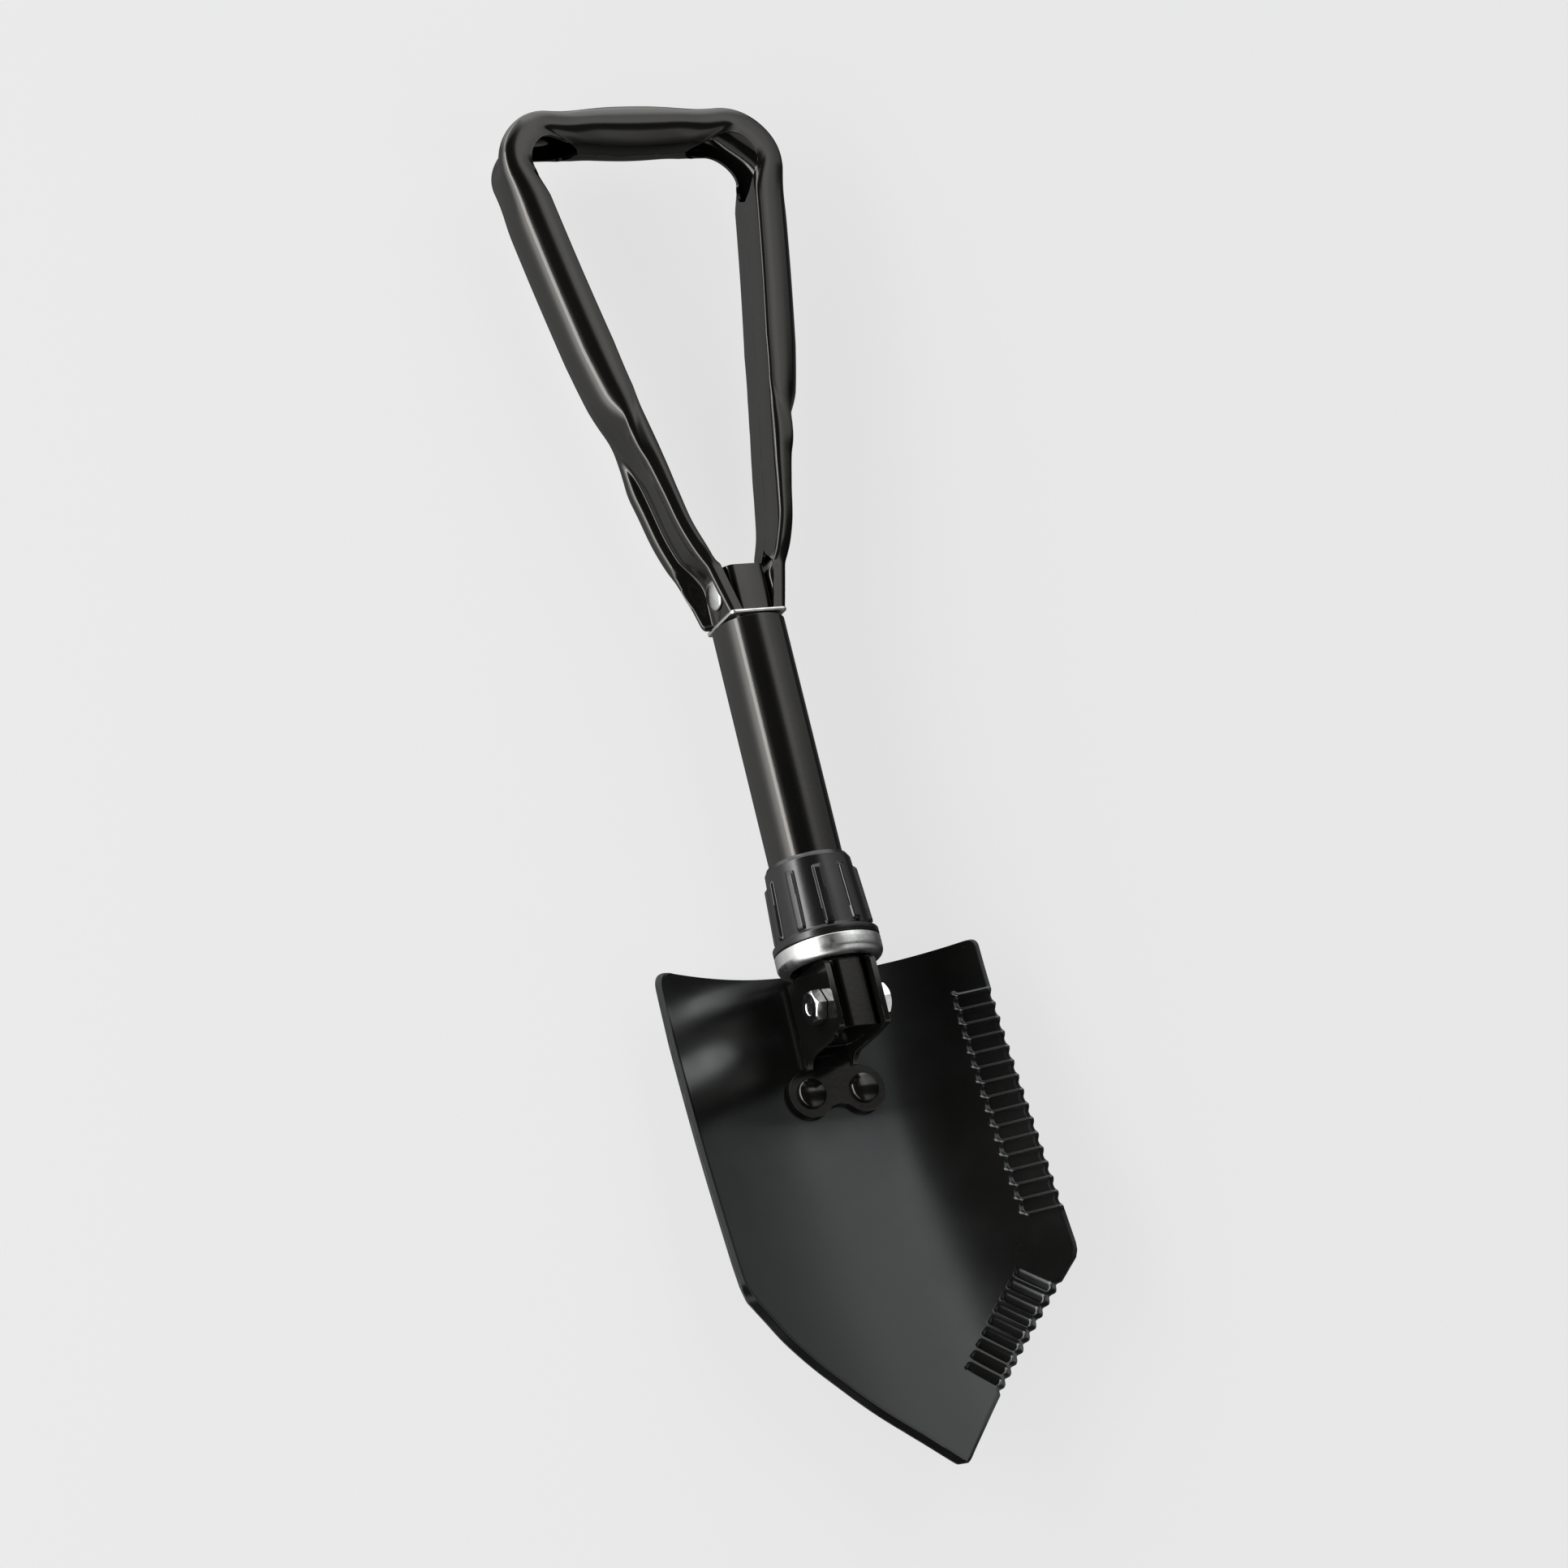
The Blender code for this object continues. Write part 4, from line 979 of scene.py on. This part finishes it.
HANDLE_SHEET = 1.4
HANDLE_HALF_Z = 12.4
GRIP_Y = 398.3
CORNER_X = 41.7
CORNER_R = 20.0
LEG_TOP_TILT = 12.0  # degrees between the top of a leg and the shaft's direction
EAR_END_Y = 162.8
SEAT_X = 11.1  # middle of the ear's sheet at the rivet
SEAT_FLAT_Z = 8.6  # the ear is flat this far from its middle
SEAT_RIDGE_Z = 10.8  # and reaches its ridge here
EAR_Z = (0.0, 3.6, 7.0, 9.2, 10.9)
# The ridge beside the seat, as (Y, X) along the ear
RIDGES = (
    (EAR_END_Y, 13.0), (168.8, 14.5), (176.5, 16.4), (184.0, 18.2), (190.0, 20.3), (198.4, 23.6),
    (204.0, 25.6),
)
# How much further out the rear one is
REAR_RIDGE_MORE = ((EAR_END_Y, 2.1), (173.0, 2.2), (180.0, 3.0), (186.0, 4.4), (195.0, 4.6), (205.0, 3.4))
CREST_POINTS = (3, 4, 5)  # the points of a section that lie on the ridge beside the valley
REAR_CREST_MORE = 2.3  # how much further out the rear ridge is
EAR_FLANGE = 5.4  # how far the ear's front and rear flanges reach inwards from their ridges
EAR_CORNER_CUT = 3.0  # radius of the ear's lower rear corner
# X, Y of the middle of the right leg, from the ear's end to the corner
LEG_LINE = (
    (13.3, EAR_END_Y), (13.3, 170.0), (14.2, 179.0), (15.8, 184.0), (18.8, 190.0), (24.0, 204.0),
    (27.5, 220.0), (31.0, 236.0), (35.8, 252.0), (41.0, 268.0), (45.9, 290.0), (52.3, 323.0), (57.1, 350.0),
    (61.26, 374.1),
)
# Y, half the leg's width in the plane of the frame
LEG_HALF_WIDTHS = (
    (EAR_END_Y, 3.2), (190.0, 3.2), (204.0, 3.3), (220.0, 3.6), (236.0, 4.3), (252.0, 6.0), (268.0, 7.9),
    (290.0, 8.8), (350.0, 8.6), (380.0, 8.6),
)
CORNER_HALF_WIDTH = 9.0
GRIP_HALF_WIDTH = 10.6
REAR_CORNER_INSET = 7.0  # how much further in the rear half runs round the corner
REAR_LEG_INSET = 2.0  # the same where the corner begins
REAR_GRIP_INSET = 4.5  # the same where the corner ends
LEG_INSET_Y = (350.0, 376.0)  # it begins on the leg between these heights
INSET_Z = (11.0, 1.0)  # across the sheet it grows from the first Z to the second, and stays
GRIP_ON_ARC = 0.4  # how far the section has changed to the grip's by the end of the corner
LIP_Z = 0.06  # half of the seam where the two lips meet
# Half sections from the outer face to the lip: outward share of the half width, then Z
ROUND_SECTION = (
    (1.0, 0.0), (0.91, 4.1), (0.69, 7.8), (0.31, 10.8), (-0.14, 12.25), (-0.78, 12.2), (-1.0, 10.4),
    (-1.0, LIP_Z),
)
OPEN_SECTION = (
    (0.97, 0.0), (0.95, 4.4), (0.84, 8.1), (0.6, 10.8), (0.27, 12.1), (-0.06, 12.4), (-0.38, 12.4),
    (-0.68, 12.2),
)
VALLEY_FRONT = (
    (0.5, 0.0), (0.5, 3.4), (0.58, 6.6), (0.82, 8.9), (0.98, 10.6), (0.6, 12.25), (-0.8, 12.2),
    (-1.0, LIP_Z),
)
VALLEY_REAR = (
    (0.5, 0.0), (0.46, 3.6), (0.46, 6.3), (0.7, 7.9), (1.0, 10.0), (0.7, 12.1), (-0.8, 12.2), (-1.0, LIP_Z),
)
GRIP_SECTION = (
    (1.0, 0.0), (0.95, 4.6), (0.74, 8.6), (0.3, 11.5), (-0.2, 11.8), (-0.62, 9.9), (-0.93, 6.0),
    (-1.0, LIP_Z),
)
FRONT_VALLEY_Y = (240.0, 268.0)  # the pressed valley runs out between these heights
REAR_VALLEY_Y = (226.0, 262.0)
EAR_BLEND_Y = (178.0, 195.0)  # the ear turns into the leg
EAR_LIP_Y = (183.0, 194.0)  # and its flanges into the leg's lips
OPEN_LEG_Y = (361.0, 386.0)  # the lips part below the corner
OPEN_GRIP_X = (27.0, 52.0)  # and close again on the grip
POINTS_PER_SPAN = 5
CORNER_STEPS = 34
GRIP_STEPS = 40
Place = namedtuple("Place", "point width gripped opened inset")


def leg_places():
    """Places along the middle of the right leg, ear to corner."""
    places = []
    for point in smooth_line([Vector(pair) for pair in LEG_LINE], 9):
        width = along(LEG_HALF_WIDTHS, point.y)
        inset = REAR_LEG_INSET * smoothstep(*LEG_INSET_Y, point.y)
        places.append(Place(point, width, 0.0, between(*OPEN_LEG_Y, point.y), inset))
    return places


def corner_places(leg_width):
    centre = Vector((CORNER_X, GRIP_Y - CORNER_R))
    places = []
    for k in range(1, CORNER_STEPS + 1):
        share = k / CORNER_STEPS
        angle = math.radians(mix(-LEG_TOP_TILT, 90.0, share))
        point = centre + CORNER_R * Vector((math.cos(angle), math.sin(angle)))
        width = mix(leg_width, CORNER_HALF_WIDTH, smoothstep(0.0, 0.4, share))
        gripped = GRIP_ON_ARC * smoothstep(0.4, 1.0, share)
        opened = between(*OPEN_LEG_Y, point.y) * between(*OPEN_GRIP_X, point.x)
        inset = mix(REAR_LEG_INSET, REAR_CORNER_INSET, smoothstep(0.0, 0.6, share))
        inset = mix(inset, REAR_GRIP_INSET, smoothstep(0.6, 1.0, share))
        places.append(Place(point, width, gripped, opened, inset))
    return places


def grip_places():
    """Places from the corner to the middle of the grip."""
    places = []
    for k in range(1, GRIP_STEPS + 1):
        share = k / GRIP_STEPS
        width = mix(CORNER_HALF_WIDTH, GRIP_HALF_WIDTH, smoothstep(0.0, 1.0, share))
        point = Vector((mix(CORNER_X, 0.0, share), GRIP_Y - (width - CORNER_HALF_WIDTH) * 0.3))
        gripped = mix(GRIP_ON_ARC, 1.0, smoothstep(0.0, 0.6, share))
        inset = REAR_GRIP_INSET * (1.0 - smoothstep(0.0, 0.8, share))
        places.append(Place(point, width, gripped, between(*OPEN_GRIP_X, point.x), inset))
    return places


def ear_half(y, rear):
    """Half outline of the sheet on an ear: a flat seat, a ridge, and a flange beside the neck."""
    ridge = along(RIDGES, y) + along(REAR_RIDGE_MORE, y) * rear
    depth = HANDLE_HALF_Z
    above = y - EAR_END_Y
    if rear:
        depth -= corner_inset(above, EAR_CORNER_CUT)
    half = []
    for z in EAR_Z:
        x = mix(SEAT_X, ridge, smoothstep(SEAT_FLAT_Z, SEAT_RIDGE_Z, z))
        half.append((x, z * depth / HANDLE_HALF_Z))
    return half + [(ridge - 1.2, depth - 0.15), (ridge - 3.0, depth), (ridge - EAR_FLANGE, depth)]


def half_section(place, outward, rear):
    """Smooth half outline of the sheet from its outer face to its lip, as (X, Y, Z) points."""
    centre = place.point
    valley = 1.0 - smoothstep(*(REAR_VALLEY_Y if rear else FRONT_VALLEY_Y), centre.y)
    ear = 1.0 - smoothstep(*EAR_BLEND_Y, centre.y)
    lip = 1.0 - smoothstep(*EAR_LIP_Y, centre.y)
    sheet_open = smoothstep(0.0, 1.0, place.opened)
    lip_open = math.sqrt(place.opened * (2.0 - place.opened))
    pressed = VALLEY_REAR if rear else VALLEY_FRONT
    half = []
    for index, (x_on_ear, z_on_ear) in enumerate(ear_half(centre.y, rear)):
        is_lip = index == len(ROUND_SECTION) - 1
        point = mix_each(ROUND_SECTION[index], pressed[index], valley)
        point = mix_each(point, GRIP_SECTION[index], place.gripped)
        out, z = mix_each(point, OPEN_SECTION[index], sheet_open)
        if is_lip:
            z = mix(point[1], OPEN_SECTION[index][1], lip_open)
        inset = place.inset * smoothstep(*INSET_Z, -z if rear else z) * (out + 1.0) / 2
        if index in CREST_POINTS:
            inset -= REAR_CREST_MORE * rear * valley * (1.0 - ear)
        flat = centre + outward * (out * place.width - inset)
        half.append(Vector(mix_each((*flat, z), (x_on_ear, centre.y, z_on_ear), lip if is_lip else ear)))
    return half


def frame_section(place, outward):
    """Ring of sheet points at one place, from the rear lip round to the front lip."""
    rear = [Vector((p.x, p.y, -p.z)) for p in half_section(place, outward, rear=1)]
    front = half_section(place, outward, rear=0)
    middle = (front[0] + rear[0]) / 2
    return smooth_line(rear[:0:-1] + [middle] + front[1:], POINTS_PER_SPAN)


def make_handle_frame(material):
    line = leg_places()
    line += corner_places(line[-1].width)
    line += grip_places()
    rings = []
    for before, place, after in zip([line[0]] + line, line, line[1:]):
        run = (after.point - before.point).normalized()
        rings.append(frame_section(place, Vector((run.y, -run.x))))
    mirrored = [[Vector((-p.x, p.y, p.z)) for p in ring] for ring in reversed(rings)]
    rings.append(frame_section(line[-1], Vector((0.0, 1.0))))
    handle = to_object("pressed_handle", skin(rings + mirrored, closed_rings=False), material, sharp=60.0)
    solidify(handle, HANDLE_SHEET, 0.0)
    drill(handle, HANDLE_RIVET_R + GAP, HANDLE_AXIS, TURN_TO_X)
    round_edges(handle, 0.4, 3, 60.0)
    stands_for(handle, "handle_frame", "handle")


def make_handle_rivet(material):
    low, high = drawn_box("handle_rivet")
    seat = SEAT_X + HANDLE_SHEET / 2 + GAP
    head_r = 7.0
    tail_r = head_r * 0.85
    profile = dome(head_r, -seat, -0.5, low.x + seat, range(10, 91, 8))
    profile += [(head_r, -seat - 0.25), (head_r - 0.2, -seat), (HANDLE_RIVET_R, -seat)]
    profile += [(HANDLE_RIVET_R, seat), (tail_r - 0.2, seat), (tail_r, seat + 0.3)]
    profile += reversed(dome(tail_r, seat, 0.4, high.x - seat, range(16, 81, 16)))
    rivet = to_object("bright_rivet", moved(turned(profile, 56, TURN_TO_X), HANDLE_AXIS), material)
    stands_for(rivet, "handle_rivet", "handle")


# ---- studio and camera

FLOOR_HALF = 6.0
FLOOR_Z = -0.001
FLOOR_GLOW = 0.70
FLOOR_LIT = 0.12
TENT_TINT = (0.985, 1.0, 0.995)
PANEL_FULL = 12.0  # the brightness that 1 stands for below
# Panels round the shaft's line, as (degrees from overhead, positive to the left; brightness)
LEFT_PANEL = (
    (-180.0, 0.012), (-150.0, 0.008), (-115.0, 0.006), (-92.0, 0.0), (40.0, 0.0), (47.0, 0.03), (53.0, 0.10),
    (60.0, 0.30), (70.0, 0.45), (80.0, 0.30), (90.0, 0.14), (100.0, 0.085), (110.0, 0.07), (125.0, 0.06),
    (145.0, 0.04), (172.0, 0.02), (180.0, 0.012),
)
RIGHT_PANEL = (
    (-100.0, 0.0), (-90.0, 0.033), (-73.0, 0.048), (-56.0, 0.075), (-44.0, 0.10), (-34.0, 0.12),
    (-26.0, 0.16), (-16.0, 0.14), (-7.0, 0.03), (0.0, 0.008), (8.0, 0.0),
)
# Brightness of the right panel from the tip's end (0) to the grip's end (1)
LENGTHWISE = (
    (0.05, 0.2), (0.15, 0.55), (0.32, 0.5), (0.40, 0.08), (0.50, 0.03), (0.61, 0.05), (0.655, 1.0),
    (0.88, 1.0), (1.0, 0.7),
)
FAR_END = 0.12  # brightness of the wall past the grip
KEY_PLACE = Vector((-1.42, 0.35, 0.82))
KEY_SIZE = (0.30, 2.2)
KEY_POWER = 14.0
CAMERA_YAW = -28.243
CAMERA_PITCH = -16.835
CAMERA_ROLL = -13.811
CAMERA_DISTANCE = 2056.5
CAMERA_ASIDE = (21.0, 80.5)  # how far the drawing's zero point lies right of and below the view's middle
CAMERA_LENS = 112.1


def turn_about(axis, degrees):
    return Matrix.Rotation(math.radians(degrees), 3, axis)


def make_camera():
    """Camera over the blade's side, turned about Y, then tipped, then rolled."""
    turns = turn_about("Z", CAMERA_ROLL) @ turn_about("X", CAMERA_PITCH) @ turn_about("Y", CAMERA_YAW)
    to_view = turns @ Matrix.Diagonal((1, -1, -1))
    place = -(to_view.transposed() @ Vector((*CAMERA_ASIDE, CAMERA_DISTANCE)))
    right, down, forward = to_view
    turn = Matrix((right, -down, -forward)).transposed()
    data = bpy.data.cameras.new("camera")
    data.lens = CAMERA_LENS
    data.clip_start = 0.05
    camera = new_object("camera", data)
    camera.matrix_world = Matrix.Translation((place + ORIGIN) * MM) @ turn.to_4x4()
    bpy.context.scene.camera = camera


def make_key_light():
    """One long narrow panel on the left, parallel to the shaft."""
    data = bpy.data.lights.new("key", "AREA")
    data.shape = "RECTANGLE"
    data.size, data.size_y = KEY_SIZE
    data.energy = KEY_POWER
    back = Vector((KEY_PLACE.x, 0.0, KEY_PLACE.z)).normalized()
    along_shaft = Vector((0.0, 1.0, 0.0))
    turn = Matrix((along_shaft.cross(back), along_shaft, back)).transposed()
    new_object("key", data).matrix_world = Matrix.Translation(KEY_PLACE) @ turn.to_4x4()


def panel(nodes, azimuth, stops):
    """Brightness over the direction round the shaft's line."""
    turned_share = nodes.math("MULTIPLY_ADD", azimuth, 1.0 / math.tau, 0.5)
    return nodes.ramp(turned_share, *((0.5 + degrees / 360.0, grey) for degrees, grey in stops))


def make_world():
    """A soft tent of light: bright panels on both sides, and a dark ceiling between them."""
    world = bpy.data.worlds.new("studio")
    bpy.context.scene.world = world
    nodes = Nodes(world)
    split = nodes.add("ShaderNodeSeparateXYZ")
    nodes.feed(split.inputs[0], nodes.coords("Generated"))
    x, y, z = split.outputs
    azimuth = nodes.math("ARCTAN2", nodes.math("MULTIPLY", x, -1.0), z)
    left_side = panel(nodes, azimuth, LEFT_PANEL)
    right_side = panel(nodes, azimuth, RIGHT_PANEL)
    lengthwise = nodes.ramp(nodes.math("MULTIPLY_ADD", y, 0.5, 0.5), *LENGTHWISE)
    far_end = nodes.ramp(y, (0.72, 0.0), (0.88, FAR_END))
    total = nodes.math("ADD", left_side, nodes.math("MULTIPLY", right_side, lengthwise))
    total = nodes.math("ADD", total, far_end)
    background = nodes.tree.nodes["Background"]
    nodes.feed(background.inputs["Color"], TENT_TINT)
    nodes.feed(background.inputs["Strength"], nodes.math("MULTIPLY", total, PANEL_FULL))


def floor_material():
    """Plain pale floor that glows a little, so that it stays even under the dark ceiling."""
    material, nodes, shader = new_material("pale_floor")
    nodes.feed(shader.inputs["Base Color"], (FLOOR_LIT, FLOOR_LIT, FLOOR_LIT))
    nodes.feed(shader.inputs["Roughness"], 1.0)
    nodes.feed(shader.inputs["Specular IOR Level"], 0.0)
    nodes.feed(shader.inputs["Emission Color"], NEUTRAL)
    nodes.feed(shader.inputs["Emission Strength"], FLOOR_GLOW)
    return material


def make_floor():
    draft = bmesh.new()
    corners = ((-1, -1), (1, -1), (1, 1), (-1, 1))
    draft.faces.new([draft.verts.new((x * FLOOR_HALF, y * FLOOR_HALF, FLOOR_Z)) for x, y in corners])
    mesh = bpy.data.meshes.new("floor")
    draft.to_mesh(mesh)
    draft.free()
    mesh.materials.append(floor_material())
    floor = new_object("floor", mesh)
    floor.visible_glossy = False


# ---- the whole object


def dress(node, material):
    """Give a CAD solid that is shown as it is a finer material."""
    thing = frame["nodes"][node]
    thing.data.materials.clear()
    thing.data.materials.append(material)


def main():
    black = (0.0035, 0.0034, 0.0033)
    gloss = enamel("gloss_enamel", black, 0.11, gloss_tint=(1.0, 0.965, 0.92))
    blade_gloss = enamel("blade_enamel_fine", black, 0.22, peel=0.03, gloss_tint=(0.955, 0.985, 1.0))
    collar_black = enamel("collar_satin", (0.006, 0.006, 0.006), 0.24, peel=0.1, wear=0.2)
    bright = zinc("bright_zinc", (0.80, 0.80, 0.80), 0.16, stain=0.15)
    ring_zinc = zinc("turned_zinc", (0.82, 0.82, 0.81), 0.26, stain=0.3, brushed=(0.15, 4.0, 0.15))
    dull_zinc = zinc("dull_zinc", (0.62, 0.62, 0.62), 0.38)
    steel = zinc("oiled_spring_steel", (0.42, 0.42, 0.43), 0.3, stain=0.2)
    make_blade(blade_gloss)
    make_bracket(gloss)
    make_bracket_rivets(gloss)
    make_pivot_bolt(bright)
    make_pivot_nut(bright)
    make_shaft_tube(gloss)
    make_locking_collar(collar_black)
    make_collar_ring(ring_zinc)
    make_neck_tube(gloss)
    make_stop_plate(ring_zinc)
    make_handle_frame(gloss)
    make_handle_rivet(bright)
    dress("detent_spring", steel)
    for node in ("spring_seat", "pivot_spacer", "thread_sleeve"):
        dress(node, dull_zinc)
    make_camera()
    make_floor()
    make_world()
    make_key_light()
    bpy.context.scene.view_settings.view_transform = "Standard"


main()
